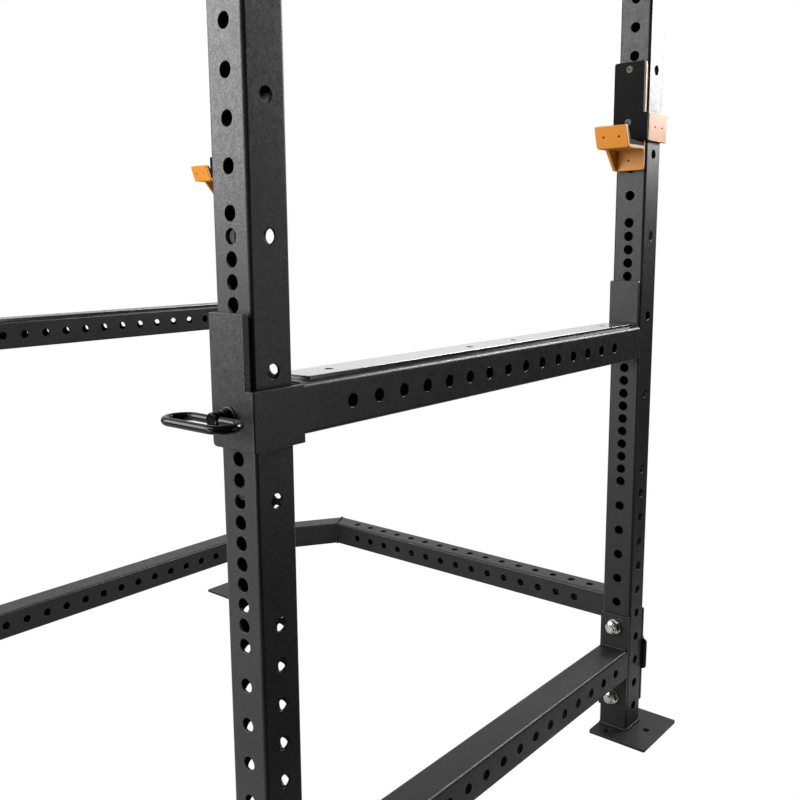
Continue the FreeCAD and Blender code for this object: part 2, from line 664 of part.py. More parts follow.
def make_safety_front(side_name, side):
    """The bracket wrapped round the front upright, its boss and its liners."""
    at = ahead_of(FRONT_Y)
    name = f"safety_front_bracket_{side_name}"
    face = "bracket_face"
    inner = "bracket_face - bracket_plate"
    back = f"({HALF_TUBE} + plate_gap + back_plate)"
    wrapped = ("bracket_low", "bracket_mid")
    plates = [
        block(f"{name}_front", outward(side, "-bracket_half", face),
              (at(f"-{face}"), at(f"-({inner})")), wrapped),
        block(f"{name}_tall", outward(side, "-bracket_half", "bracket_half"),
              (at(f"-{face}"), at(f"-({inner})")), ("bracket_low", "bracket_top")),
        block(f"{name}_side", outward(side, inner, face), (at(f"-{face}"), at(back)), wrapped),
        block(f"{name}_back", outward(side, "-bracket_half", face),
              (at(f"{HALF_TUBE} + plate_gap"), at(back)), wrapped),
    ]
    wrapped_plates = round_edges(f"{name}_rounded", fuse(f"{name}_plates", plates),
                                 "bracket_round", is_upright_edge(face, side))
    axis = outward_point(side, "0")
    boss = rod(f"{name}_boss", "boss_radius", "boss_length",
               (axis, at(f"-{face} - boss_length"), "pin_height"), TO_Y)
    pin_hole = rod(f"{name}_pin_hole", "pin_radius + pin_fit", "boss_length + bracket_plate",
                   (axis, at(f"-{face} - boss_length"), "pin_height"), TO_Y)
    back_hole = rod(f"{name}_back_hole", "hole_radius", "back_plate",
                    (axis, at(f"{HALF_TUBE} + plate_gap"), "pin_height"), TO_Y)
    whole = fuse(f"{name}_whole", [wrapped_plates, boss])
    node(cut(name, whole, [pin_hole, back_hole]), name)

    name = f"safety_front_liner_{side_name}"
    near = f"-({inner}) + bracket_liner"
    edge = ("-bracket_half + plate_gap", f"{inner} - bracket_liner")
    front = block(f"{name}_front", outward(side, "-bracket_half + plate_gap", "bracket_half - plate_gap"),
                  (at(f"-({inner})"), at(near)),
                  ("bracket_low + liner_inset", "bracket_top - liner_inset"))
    hole = rod(f"{name}_hole", "hole_radius", "bracket_liner",
               (axis, at(f"-({inner})"), "pin_height"), TO_Y)
    beside = block(f"{name}_side", outward(side, edge[1], inner),
                   (at(near), at(HALF_TUBE)),
                   ("bracket_low + liner_inset", "bracket_mid - liner_inset"))
    node(group(name, [cut(f"{name}_face", front, [hole]), beside]), name)


def is_upright_edge(face, side):
    """A test for the vertical edges along the bracket's outer side."""
    outer = side * amount(f"{UPRIGHT_X} + {face}")

    def chosen(start, end):
        vertical = abs(start.z - end.z) > 1
        return vertical and abs(start.x - outer) < 0.01
    return chosen


def make_safety_rear(side_name, side):
    """The plate that stands against the rear upright, its peg and its liner."""
    at = ahead_of(REAR_Y)
    name = f"safety_rear_bracket_{side_name}"
    inner = "(bracket_face - bracket_plate)"
    axis = outward_point(side, "0")
    plate = block(f"{name}_plate", outward(side, "-bracket_half", "bracket_half"),
                  (at("-bracket_face"), at(f"-{inner}")), ("bracket_low", "bracket_top"))
    peg = rod(f"{name}_peg", "pin_radius", "bracket_liner + peg_length - pin_point",
              (axis, at(f"-{inner}"), "pin_height"), TO_Y)
    tip = cone(f"{name}_tip", "pin_radius", SOFT_TIP, "pin_point",
               (axis, at(f"-{inner} + bracket_liner + peg_length - pin_point"), "pin_height"), TO_Y)
    node(fuse(name, [plate, peg, tip]), name)

    name = f"safety_rear_liner_{side_name}"
    sheet_block = block(f"{name}_sheet",
                        outward(side, "-bracket_half + plate_gap", "bracket_half - plate_gap"),
                        (at(f"-{inner}"), at(f"-{inner} + bracket_liner")),
                        ("bracket_low + liner_inset", "bracket_top - liner_inset"))
    hole = rod(f"{name}_hole", "hole_radius", "bracket_liner",
               (axis, at(f"-{inner}"), "pin_height"), TO_Y)
    node(cut(name, sheet_block, [hole]), name)


def make_safety_beam(side_name, side):
    """The beam, the two plastic strips on top of it and their screws."""
    name = f"safety_beam_{side_name}"
    start = f"({FRONT_Y} + {HALF_TUBE} + plate_gap + back_plate)"
    end = f"({REAR_Y} - bracket_face)"
    back = f"({HALF_TUBE} + plate_gap + back_plate)"
    beam = tube(f"{name}_tube", "beam_width", "tube_size", f"{end} - {start}",
                (("YZ_Plane", f"beam_first - {back}", "wide_pitch", "beam_holes"),))
    place(beam, (outward_point(side, "0"), start, "beam_height"), TO_Y)

    top = f"beam_height + {HALF_TUBE}"
    across = outward_point(side, "-strip_shift")
    strip_start = f"({start} + strip_front)"
    strip_length = f"(({end} - strip_rear - {strip_start}) / 2)"
    strips = []
    screws = []
    screw_holes = []
    for index in (0, 1):
        low = f"({strip_start} + {index} * {strip_length})"
        plain = block(f"strip_{side_name}_{index}",
                      outward(side, "-strip_shift - strip_width / 2", "strip_width / 2 - strip_shift"),
                      (low, f"{low} + {strip_length}"), (top, f"{top} + strip_thickness"))
        sunk = []
        for place_name, level in (("a", f"{low} + strip_screw"),
                                  ("b", f"{low} + {strip_length} - strip_screw")):
            screw = f"strip_screw_{side_name}_{index}{place_name}"
            head_z = f"{top} + strip_thickness - screw_sink"
            head = cone(f"{screw}_head", "screw_radius", "screw_head", "screw_sink",
                        (across, level, head_z))
            shank = rod(f"{screw}_shank", "screw_radius", "screw_length - screw_sink",
                        (across, level, f"{top} + strip_thickness - screw_length"))
            whole = fuse(screw, [head, shank])
            sunk.append(whole)
            screws.append(whole)
            screw_holes.append(rod(f"{screw}_hole", "screw_radius + thread_gap", "screw_length",
                                   (across, level, f"{top} - screw_length")))
        strips.append(cut(f"strip_{side_name}_{index}_sunk", plain, sunk))
    node(cut(name, beam, screw_holes), name)
    node(group(f"safety_strips_{side_name}", strips), f"safety_strips_{side_name}")
    node(group(f"safety_strip_screws_{side_name}", screws), f"safety_strip_screws_{side_name}")


def make_pull_pin(side_name, side):
    """The pin that locks a safety to the front upright, and the link welded into its head."""
    at = ahead_of(FRONT_Y)
    name = f"pull_pin_{side_name}"
    axis = outward_point(side, "0")
    head_end = "(bracket_face + boss_length + pin_neck + pin_head_length)"
    link_y = f"({head_end} - pin_head_length / 2)"
    shaft = rod(f"{name}_shaft", "pin_radius", f"pin_end - pin_point + {head_end}",
                (axis, at(f"-{head_end}"), "pin_height"), TO_Y)
    point = cone(f"{name}_point", "pin_radius", SOFT_TIP, "pin_point",
                 (axis, at("pin_end - pin_point"), "pin_height"), TO_Y)
    head = rod(f"{name}_head", "pin_head_radius", "pin_head_length",
               (axis, at(f"-{head_end}"), "pin_height"), TO_Y)
    hole = rod(f"{name}_link_hole", "link_rod + link_fit", "4 * pin_head_radius",
               (f"{axis} - 2 * pin_head_radius", at(f"-{link_y}"), "pin_height"), TO_X)
    node(cut(name, fuse(f"{name}_whole", [shaft, point, head]), [hole]), name)

    name = f"pull_handle_{side_name}"
    pieces = []
    for bar_name, bar_y in (("near", link_y), ("far", f"({link_y} + 2 * link_bend)")):
        pieces.append(rod(f"{name}_{bar_name}", "link_rod", "2 * link_straight",
                          (f"{axis} - link_straight", at(f"-{bar_y}"), "pin_height"), TO_X))
    for sign in (-1, 1):
        bend = doc.addObject("Part::Torus", f"{name}_bend_{sign + 1}")
        bend.setExpression("Radius1", bound("link_bend"))
        bend.setExpression("Radius2", bound("link_rod"))
        bend.Angle3 = 180
        place(bend, (f"{axis} + {sign} * link_straight", at(f"-({link_y} + link_bend)"), "pin_height"),
              Rotation(Vector(0, 0, 1), -90 * sign))
        pieces.append(bend)
    node(fuse(name, pieces), name)


for side_name, side in SIDES:
    make_safety_front(side_name, side)
    make_safety_rear(side_name, side)
    make_safety_beam(side_name, side)
    make_pull_pin(side_name, side)


# ---------------------------------------------------------------- bar cups

def make_cup(side_name, side):
    at = ahead_of(REAR_Y)
    axis = outward_point(side, "0")
    liner_face = f"-({HALF_TUBE} + cup_gap)"
    steel_face = f"({liner_face} - cup_rear_liner)"
    front_face = f"({steel_face} - cup_plate)"
    bar_face = f"({front_face} - cup_face_liner)"
    side_in = f"({HALF_TUBE} + cup_side_gap)"
    side_out = f"({side_in} + cup_plate)"
    seat_top = "cup_seat + cup_plate"
    liner_top = f"({seat_top} + cup_face_liner)"
    lip_top = "cup_seat + cup_lip_height"

    name = f"cup_frame_{side_name}"
    back = block(f"{name}_back", outward(side, "-cup_tall_half", "cup_tall_half"),
                 (at(front_face), at(steel_face)), ("cup_low", "cup_top"))
    wide = block(f"{name}_wide", outward(side, "cup_tall_half", side_out),
                 (at(front_face), at(steel_face)), ("cup_liner_low", "cup_wide_top"))
    beside = block(f"{name}_side", outward(side, side_in, side_out),
                   (at(steel_face), at("cup_side_depth")), ("cup_liner_low", "cup_wide_top"))
    seat = block(f"{name}_seat", outward(side, "-cup_half", "cup_half"),
                 (at("cup_plate - cup_reach"), at(front_face)), ("cup_seat", seat_top))
    lip = prism(f"{name}_lip", "YZ_Plane",
                (("0 - cup_reach", "cup_seat"), ("cup_plate - cup_reach", "cup_seat"),
                 ("cup_plate - cup_reach", seat_top),
                 ("cup_plate - cup_reach - cup_lip_lean", lip_top),
                 ("0 - cup_reach - cup_lip_lean", lip_top)), "2 * cup_half")
    place(lip, (outward(side, "-cup_half", "cup_half")[0], REAR_Y, NONE))
    web = prism(f"{name}_web", "YZ_Plane",
                ((front_face, "cup_low"), (front_face, "cup_seat"),
                 (f"{front_face} - cup_web_depth", "cup_seat"),
                 (f"{front_face} - cup_web_foot", "cup_low")), "cup_plate")
    place(web, (f"{axis} - cup_tall_half", REAR_Y, NONE))

    peg_hole = rod(f"{name}_peg_hole", "pin_radius + thread_gap", "cup_plate",
                   (axis, at(front_face), "cup_peg_height"), TO_Y)
    screw_holes = []
    for level in ("cup_upper_screw", "cup_lower_screw"):
        screw_holes.append(rod(f"{name}_{level}", "screw_radius", "cup_plate",
                               (axis, at(front_face), level), TO_Y))
    low_hole = rod(f"{name}_low_hole", "small_hole", "cup_plate",
                   (axis, at(front_face), "(cup_low + cup_seat) / 2"), TO_Y)
    side_level = "(cup_liner_low + cup_wide_top) / 2"
    side_holes = []
    lip_holes = []
    for index in (0, 1):
        side_x = outward(side, side_in, side_out)[0]
        side_holes.append(rod(f"{name}_side_hole_{index}", "small_hole", "cup_plate",
                              (side_x, at(f"(2 * {index} - 1) * small_pitch / 2"), side_level),
                              TO_X))
        lip_x = f"{axis} + (2 * {index} - 1) * small_pitch / 2"
        lip_holes.append(rod(f"{name}_lip_hole_{index}", "small_hole", "cup_lip_lean + 2 * cup_plate",
                             (lip_x, at("0 - cup_reach - cup_lip_lean"),
                              "cup_seat + cup_lip_height / 2"), TO_Y))
    solids = [
        cut(f"{name}_back_plate", back, [peg_hole, low_hole] + screw_holes),
        wide,
        cut(f"{name}_side_plate", beside, side_holes),
        seat,
        cut(f"{name}_lip_plate", lip, lip_holes),
        web,
    ]
    node(group(name, solids), name)

    peg = rod(f"cup_peg_{side_name}_shank", "pin_radius",
              "cup_plate + cup_rear_liner + cup_peg_length - pin_point",
              (axis, at(front_face), "cup_peg_height"), TO_Y)
    tip = cone(f"cup_peg_{side_name}_tip", "pin_radius", SOFT_TIP, "pin_point",
               (axis, at(f"{liner_face} + cup_peg_length - pin_point"), "cup_peg_height"), TO_Y)
    node(fuse(f"cup_peg_{side_name}", [peg, tip]), f"cup_peg_{side_name}")

    name = f"cup_rear_liner_{side_name}"
    pad = block(f"{name}_pad", outward(side, "plate_gap - cup_tall_half", "cup_tall_half - plate_gap"),
                (at(steel_face), at(liner_face)),
                ("cup_low + liner_inset", "cup_top - liner_inset"))
    hole = rod(f"{name}_hole", "pin_radius + thread_gap", "cup_rear_liner",
               (axis, at(steel_face), "cup_peg_height"), TO_Y)
    node(cut(name, pad, [hole]), name)

    name = f"cup_face_liner_{side_name}"
    tall = block(f"{name}_tall", outward(side, "-cup_tall_half", "cup_tall_half"),
                 (at(bar_face), at(front_face)), ("cup_liner_low", "cup_top"))
    foot = block(f"{name}_wide", outward(side, "cup_tall_half", side_out),
                 (at(bar_face), at(front_face)), ("cup_liner_low", "cup_wide_top"))
    screws = []
    for level in ("cup_upper_screw", "cup_lower_screw"):
        head = cone(f"{name}_{level}_head", "screw_head", "screw_radius", "screw_sink",
                    (axis, at(bar_face), level), TO_Y)
        shank = rod(f"{name}_{level}_shank", "screw_radius",
                    "cup_face_liner + cup_plate - screw_sink",
                    (axis, at(f"{bar_face} + screw_sink"), level), TO_Y)
        screws.append(fuse(f"{name}_{level}_screw", [head, shank]))
    node(group(name, [cut(f"{name}_face", tall, screws), foot]), name)
    node(group(f"cup_screws_{side_name}", screws), f"cup_screws_{side_name}")

    name = f"cup_seat_liner_{side_name}"
    inside = "cup_half - plate_gap"
    pad = block(f"{name}_pad", outward(side, f"-({inside})", inside),
                (at("cup_plate + cup_lip_liner - cup_reach"), at(front_face)),
                (seat_top, liner_top))
    lip_edge = "(cup_plate - cup_reach)"
    slope = "cup_lip_lean / (cup_lip_height - cup_plate)"
    rise = "(cup_lip_height - cup_plate)"
    leaning = prism(f"{name}_leaning", "YZ_Plane",
                    ((lip_edge, seat_top), (f"{lip_edge} + cup_lip_liner", seat_top),
                     (f"{lip_edge} + cup_lip_liner", liner_top),
                     (f"{lip_edge} + cup_lip_liner - {slope} * {rise}", lip_top),
                     (f"{lip_edge} - {slope} * {rise}", lip_top)),
                    f"2 * ({inside})")
    place(leaning, (outward(side, f"-({inside})", inside)[0], REAR_Y, NONE))
    node(group(name, [pad, leaning]), name)


for side_name, side in SIDES:
    make_cup(side_name, side)


# ---------------------------------------------------------------- checks and export

doc.recompute()
for item in doc.Objects:
    if "Invalid" in item.State or "Error" in item.State:
        raise ValueError(f"{item.Name} did not recompute: {item.State}")
os.makedirs("parts", exist_ok=True)
for item in NODES:
    shape = item.Shape
    if shape.isNull() or not shape.isValid() or shape.Volume <= 0:
        raise ValueError(f"{item.Label} is not a sound solid")
    shape.exportStep(f"parts/{item.Label}.step")
    box = shape.BoundBox
    print(f"{item.Label}: {len(shape.Solids)} solids, "
          f"x {box.XMin:.1f}..{box.XMax:.1f}, y {box.YMin:.1f}..{box.YMax:.1f}, "
          f"z {box.ZMin:.1f}..{box.ZMax:.1f}")
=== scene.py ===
"""Looks of the power cage: every steel, plastic and plated piece rebuilt with its real edges."""
import math

import bpy
import numpy as np
from mathutils import Matrix, Vector
from mathutils.geometry import tessellate_polygon


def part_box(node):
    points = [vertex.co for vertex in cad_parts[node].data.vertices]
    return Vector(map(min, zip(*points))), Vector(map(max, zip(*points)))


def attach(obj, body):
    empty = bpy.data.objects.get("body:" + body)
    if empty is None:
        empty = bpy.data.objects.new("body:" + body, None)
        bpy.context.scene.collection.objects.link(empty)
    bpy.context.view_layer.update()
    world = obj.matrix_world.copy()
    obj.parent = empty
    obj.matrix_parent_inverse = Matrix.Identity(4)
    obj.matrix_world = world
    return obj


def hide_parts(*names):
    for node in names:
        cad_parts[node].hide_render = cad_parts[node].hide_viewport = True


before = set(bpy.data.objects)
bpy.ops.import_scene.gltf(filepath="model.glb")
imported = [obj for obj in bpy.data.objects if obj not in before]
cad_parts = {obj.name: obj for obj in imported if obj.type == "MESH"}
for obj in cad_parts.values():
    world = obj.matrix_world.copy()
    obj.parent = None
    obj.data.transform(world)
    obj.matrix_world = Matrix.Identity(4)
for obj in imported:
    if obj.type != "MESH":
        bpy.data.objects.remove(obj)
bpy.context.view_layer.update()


# ---------------- sizes, in millimetres

MM = 0.001  # in metres, which the frame and Blender use


def middle(node):
    """The middle of a CAD node's box at rest."""
    low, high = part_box(node)
    return [round((a + b) / 2 / MM, 2) for a, b in zip(low, high)]


# The uprights stand at x = SIDE and -SIDE, in a front and a rear row
SIDE, FRONT = middle("upright_right_front")[:2]
REAR = middle("upright_right_rear")[1]
BASE = middle("side_base_right")[2]
CROWN = middle("side_crown_right")[2]

# Square tube: its width, its wall, and its outer corners' radius
TUBE, WALL, CORNER = 60.0, 3.0, 5.0
# The adjusting holes' radius and spacing, and the radius of floor holes and of bolts and pegs
HOLE, PITCH = 8.75, 50
ANCHOR, BOLT = 6.5, 8.0
# Foot plates and flanges, and how far a tube's face and a flange's are from the tube's middle
PLATE = 6.0
FACE = TUBE / 2
JOIN = FACE + PLATE
UPRIGHT_TOP, CAP_TOP = 2196.0, 2200.0

# Heights on the safeties, and how far a bracket's faces are from its upright's centre
PIN_Z, BEAM_Z = 800.0, 801.0
SLEEVE_LOW, SLEEVE_HIGH, BRACKET_TOP = 764.0, 832.0, 917.0
BRACKET_IN, BRACKET_OUT, BRACKET_HALF = 34.0, 42.0, 29.0
# Where the beam starts behind its upright's centre, its width, and half a plastic liner's width
BEAM_START, BEAM_WIDE, LINER_HALF = 37.0, 70.0, 28.0

# Heights on the bar cups, and how far a cup's faces are from its upright's centre
CUP_LOW, CUP_TOP = 1120.0, 1312.0
ARM_LOW, ARM_HIGH = 1172.0, 1222.0
CUP_IN, CUP_OUT, CUP_FACE = 35.0, 41.0, 49.0
CUP_HALF, CUP_ARM = 29.0, 38.0
SEAT_LOW, SEAT_HIGH = 1156.0, 1162.0
CUP_SCREWS = (1299, 1206)

# Points round a hole, and round turned parts that are seen close to
ARC, FINE_ARC = 32, 48
# Weld beads: the step between points, the ripples' depth as a share of the radius, and their length
BEAD_STEP, RIPPLE, RIPPLE_PITCH = 0.7, 0.1, 2.8
# A bead's middle from the tube's middle, and half its length along the tube's side
BEAD_OUT, BEAD_HALF = FACE + 1, FACE - 2
# The two equal parts of a chamfer's normal, and radii that stand for a point
SLANT = 0.7
TINY, TIP = 0.01, 1e-4
PI = math.pi


# ---------------- places

def at(x, y=0.0, z=0.0):
    return Matrix.Translation((x, y, z))


ALONG_Y = Matrix.Rotation(-PI / 2, 4, "X")
ALONG_MINUS_Y = Matrix.Rotation(PI / 2, 4, "X")
ALONG_X = Matrix.Rotation(PI / 2, 4, "Y")
ALONG_MINUS_X = Matrix.Rotation(-PI / 2, 4, "Y")
# These stand an outline up: (x, z) made thick along -Y, and (y, z) made thick along X
ACROSS_Y = Matrix(((1, 0, 0, 0), (0, 0, -1, 0), (0, 1, 0, 0), (0, 0, 0, 1)))
ACROSS_X = Matrix(((0, 0, 1, 0), (1, 0, 0, 0), (0, 1, 0, 0), (0, 0, 0, 1)))
SIDES = (("right", Matrix()), ("left", Matrix.Scale(-1, 4, (1, 0, 0))))
ENDS = (("front", FRONT), ("rear", REAR))


def row(first, pitch, count):
    return [first + pitch * i for i in range(count)]


def middle_row(length, count):
    """A row of holes in the middle of a tube's length."""
    return row((length - PITCH * (count - 1)) / 2, PITCH, count)


FRONT_ROW = row(75, PITCH, 9) + row(525, PITCH / 2, 21) + row(1075, PITCH, 22)
SIDE_ROW = row(50, PITCH, 10) + row(550, 3 * PITCH, 10) + row(1950, PITCH, 5)


# ---------------- mesh building

class Shape:
    """A mesh in the making: points, faces, a normal for every face corner, and a material index."""

    def __init__(self):
        self.points, self.faces, self.normals, self.slots = [], [], [], []
        self.at = Matrix()
        self.slot = 0

    def move(self, matrix):
        """What is added next is placed by this matrix."""
        self.at = matrix
        return self

    def face(self, corners, normals):
        start = len(self.points)
        turn = self.at.to_3x3()
        placed = [self.at @ Vector(p) for p in corners]
        turned = [(turn @ Vector(n)).normalized() for n in normals]
        if turn.determinant() < 0:
            placed.reverse()
            turned.reverse()
        self.points += placed
        self.normals += turned
        self.faces.append(list(range(start, start + len(corners))))
        self.slots.append(self.slot)

    def flat(self, corners, normal):
        """A flat face, turned to face along normal."""
        ring = [Vector(p) for p in corners]
        area = Vector((0, 0, 0))
        for a, b in zip(ring, ring[1:] + ring[:1]):
            area += a.cross(b)
        if area.dot(Vector(normal)) < 0:
            ring.reverse()
        self.face(ring, [normal] * len(ring))

    def band(self, low, high, low_n, high_n, closed=True):
        """Quads between two rings of points with their normals."""
        count = len(low)
        for i in range(count if closed else count - 1):
            j = (i + 1) % count
            corners = [low[i], low[j], high[j], high[i]]
            normals = [low_n[i], low_n[j], high_n[j], high_n[i]]
            a, b, c, d = (Vector(p) for p in corners)
            wind = (c - a).cross(d - b)
            if wind.dot(sum((Vector(n) for n in normals), Vector())) < 0:
                corners.reverse()
                normals.reverse()
            self.face(corners, normals)

    def fill(self, rings, normal, to_3d):
        """A flat region inside the first ring and outside the others."""
        loops = [[Vector((p[0], p[1], 0)) for p in ring] for ring in rings]
        flat = [p for loop in loops for p in loop]
        for triangle in tessellate_polygon(loops):
            self.flat([to_3d(flat[i].x, flat[i].y) for i in triangle], normal)

    def build(self, name, body, materials, nodes, slot):
        """The finished piece, in metres, in place of the CAD nodes."""
        mesh = bpy.data.meshes.new(name)
        mesh.from_pydata([tuple(p * MM) for p in self.points], [], self.faces)
        mesh.polygons.foreach_set("material_index", self.slots)
        mesh.polygons.foreach_set("use_smooth", [True] * len(self.faces))
        mesh.normals_split_custom_set([tuple(n) for n in self.normals])
        for material in materials:
            mesh.materials.append(material)
        piece = bpy.data.objects.new(name, mesh)
        bpy.context.scene.collection.objects.link(piece)
        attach(piece, body)
        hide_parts(*nodes)


def circle(x, y, radius, count=ARC):
    """Points round a circle, and their outward normals."""
    turns = [2 * PI * (i + 0.5) / count for i in range(count)]
    return ([(x + radius * math.cos(t), y + radius * math.sin(t)) for t in turns],
            [(math.cos(t), math.sin(t)) for t in turns])


def rounded(corners, radius):
    """A polygon, given anticlockwise, with round corners: points and outward normals.
    radius is one number, or a list with one for each corner."""
    steps = 5
    count = len(corners)
    radii = radius if isinstance(radius, list) else [radius] * count
    points, normals = [], []
    for i in range(count):
        here = Vector(corners[i])
        before = (Vector(corners[i - 1]) - here).normalized()
        after = (Vector(corners[(i + 1) % count]) - here).normalized()
        first = Vector((-before.y, before.x))
        last = Vector((after.y, -after.x))
        turn = math.atan2(first.cross(last), first.dot(last))
        reach = radii[i] * math.tan(abs(turn) / 2)
        r = math.copysign(radii[i], turn)
        centre = here + before * reach - first * r
        start = math.atan2(first.y, first.x)
        for k in range(steps + 1):
            angle = start + turn * k / steps
            n = Vector((math.cos(angle), math.sin(angle)))
            points.append(tuple(centre + n * r))
            normals.append((n.x, n.y))
    return points, normals


def box_outline(x0, x1, y0, y1, radius):
    return rounded([(x0, y0), (x1, y0), (x1, y1), (x0, y1)], radius)


def slab(shape, outline, z0, z1, edge=0.8, holes=(), rim=0.5, steps=2):
    """An outline made thick along Z, with its edges rounded and a chamfer round each hole.
    holes is ((x, y, radius), ...)."""
    points, normals = outline
    levels = []
    for side, z in ((-1, z0), (1, z1)):
        for k in range(steps + 1):
            angle = PI / 2 * k / steps
            inset = edge * (1 - math.sin(angle))
            height = z - side * edge * (1 - math.cos(angle))
            levels.append((inset, height, math.sin(angle), side * math.cos(angle)))
    low, high = levels[:steps + 1], levels[steps + 1:]
    rings = []
    for inset, height, flat_part, up_part in low + high[::-1]:
        ring = [(p[0] - n[0] * inset, p[1] - n[1] * inset, height) for p, n in zip(points, normals)]
        ring_n = [(n[0] * flat_part, n[1] * flat_part, up_part) for n in normals]
        rings.append((ring, ring_n))
    for (a, a_n), (b, b_n) in zip(rings, rings[1:]):
        shape.band(a, b, a_n, b_n)
    for z, side in ((z0, -1), (z1, 1)):
        loops = [[(p[0] - n[0] * edge, p[1] - n[1] * edge) for p, n in zip(points, normals)]]
        loops += [circle(x, y, r + rim)[0] for x, y, r in holes]
        shape.fill(loops, (0, 0, side), lambda x, y, z=z: (x, y, z))
    for x, y, r in holes:
        wide, n = circle(x, y, r + rim)
        tight = circle(x, y, r)[0]
        for z, side in ((z0, 1), (z1, -1)):
            slant = [(-a * SLANT, -b * SLANT, -side * SLANT) for a, b in n]
            shape.band([(*p, z) for p in wide], [(*p, z + side * rim) for p in tight], slant, slant)
        inward = [(-a, -b, 0) for a, b in n]
        shape.band([(*p, z0 + rim) for p in tight], [(*p, z1 - rim) for p in tight], inward, inward)


def plate(shape, x0, x1, z0, z1, y0, y1, edge, corner, holes=(), rim=0.5):
    """A plate that stands across Y, with its holes given as (x, z, radius)."""
    before = shape.at
    shape.move(before @ ACROSS_Y)
    slab(shape, box_outline(x0, x1, z0, z1, corner), -y1, -y0, edge, holes, rim)
    shape.move(before)


def side_slab(shape, outline, x0, x1, edge=0.8, holes=()):
    """An outline in (y, z), made thick along X."""
    before = shape.at
    shape.move(before @ ACROSS_X)
    slab(shape, outline, x0, x1, edge, holes)
    shape.move(before)


def side_plate(shape, y0, y1, z0, z1, x0, x1, edge, corner, holes=()):
    """A plate that stands across X, with its holes given as (y, z, radius)."""
    side_slab(shape, box_outline(y0, y1, z0, z1, corner), x0, x1, edge, holes)


def tube(shape, width, height, length, rows=(), start=(0, 0), end=(0, 0)):
    """A square tube along Z. rows is ((wall axis, (hole heights)), ...); start and end are the
    slopes of its mitred ends over x and y."""
    rim = 0.45
    half = (width / 2, height / 2)

    def low(x, y):
        return start[0] * x + start[1] * y

    def high(x, y):
        return length + end[0] * x + end[1] * y

    corners = []
    for sx, sy, first in ((1, 1, 0), (-1, 1, 1), (-1, -1, 2), (1, -1, 3)):
        turns = [(first + k / 6) * PI / 2 for k in range(7)]
        corners.append([(sx * (half[0] - CORNER), sy * (half[1] - CORNER), t) for t in turns])

    def arc_points(radius):
        return [[(cx + radius * math.cos(t), cy + radius * math.sin(t)) for cx, cy, t in corner]
                for corner in corners]

    for radius, sign in ((CORNER, 1), (CORNER - WALL, -1)):
        for corner, arc in zip(corners, arc_points(radius)):
            n = [(sign * math.cos(t), sign * math.sin(t), 0) for cx, cy, t in corner]
            shape.band([(x, y, low(x, y)) for x, y in arc],
                       [(x, y, high(x, y)) for x, y in arc], n, n, closed=False)
    for wall in range(4):
        axis = wall % 2
        sign = 1 if wall < 2 else -1
        outer = half[axis]
        reach = half[1 - axis] - CORNER
        heights = [h for row_axis, row_heights in rows if row_axis == axis for h in row_heights]

        def spot(u, v, depth):
            return (sign * depth, u, v) if axis == 0 else (u, sign * depth, v)

        for depth, facing in ((outer, 1), (outer - WALL, -1)):
            sides = []
            for u, edge in ((-reach, low), (reach, low), (reach, high), (-reach, high)):
                x, y, z = spot(u, 0, depth)
                sides.append((u, edge(x, y)))
            grow = rim if facing > 0 else 0
            loops = [sides] + [circle(0, h, HOLE + grow)[0] for h in heights]
            shape.fill(loops, spot(0, 0, facing), lambda u, v: spot(u, v, depth))
        for h in heights:
            wide, n = circle(0, h, HOLE + rim)
            tight = circle(0, h, HOLE)[0]
            slant = [spot(-a * SLANT, -b * SLANT, SLANT) for a, b in n]
            inward = [spot(-a, -b, 0) for a, b in n]
            mouth = [spot(*p, outer - rim) for p in tight]
            shape.band([spot(*p, outer) for p in wide], mouth, slant, slant)
            shape.band(mouth, [spot(*p, outer - WALL) for p in tight], inward, inward)
    rims = [[p for arc in arc_points(radius) for p in arc] for radius in (CORNER, CORNER - WALL)]
    for edge, facing in ((low, -1), (high, 1)):
        outside, inside = [[(x, y, edge(x, y)) for x, y in ring] for ring in rims]
        n = [(0, 0, facing)] * len(outside)
        shape.band(outside, inside, n, n)


def lathe(shape, profile, count=ARC):
    """Turns a profile of (radius, z) round Z; every segment keeps its own slope."""
    for (r0, z0), (r1, z1) in zip(profile, profile[1:]):
        ring0, n = circle(0, 0, max(r0, TIP), count)
        ring1 = circle(0, 0, max(r1, TIP), count)[0]
        slope = Vector((z1 - z0, r0 - r1)).normalized()
        normals = [(a * slope.x, b * slope.x, slope.y) for a, b in n]
        shape.band([(*p, z0) for p in ring0], [(*p, z1) for p in ring1], normals, normals)


def sheet(shape, rings, closed_along=False):
    """A smooth surface through rings of points."""
    p = np.array(rings, dtype=float)
    along = np.roll(p, -1, 0) - np.roll(p, 1, 0) if closed_along else np.gradient(p, axis=0)
    across = np.roll(p, -1, 1) - np.roll(p, 1, 1)
    n = np.cross(along, across)
    n /= np.maximum(np.linalg.norm(n, axis=2, keepdims=True), 1e-9)
    rows, count = p.shape[:2]
    for i in range(rows if closed_along else rows - 1):
        j = (i + 1) % rows
        for k in range(count):
            m = (k + 1) % count
            shape.face([p[i][k], p[j][k], p[j][m], p[i][m]], [n[i][k], n[j][k], n[j][m], n[i][m]])


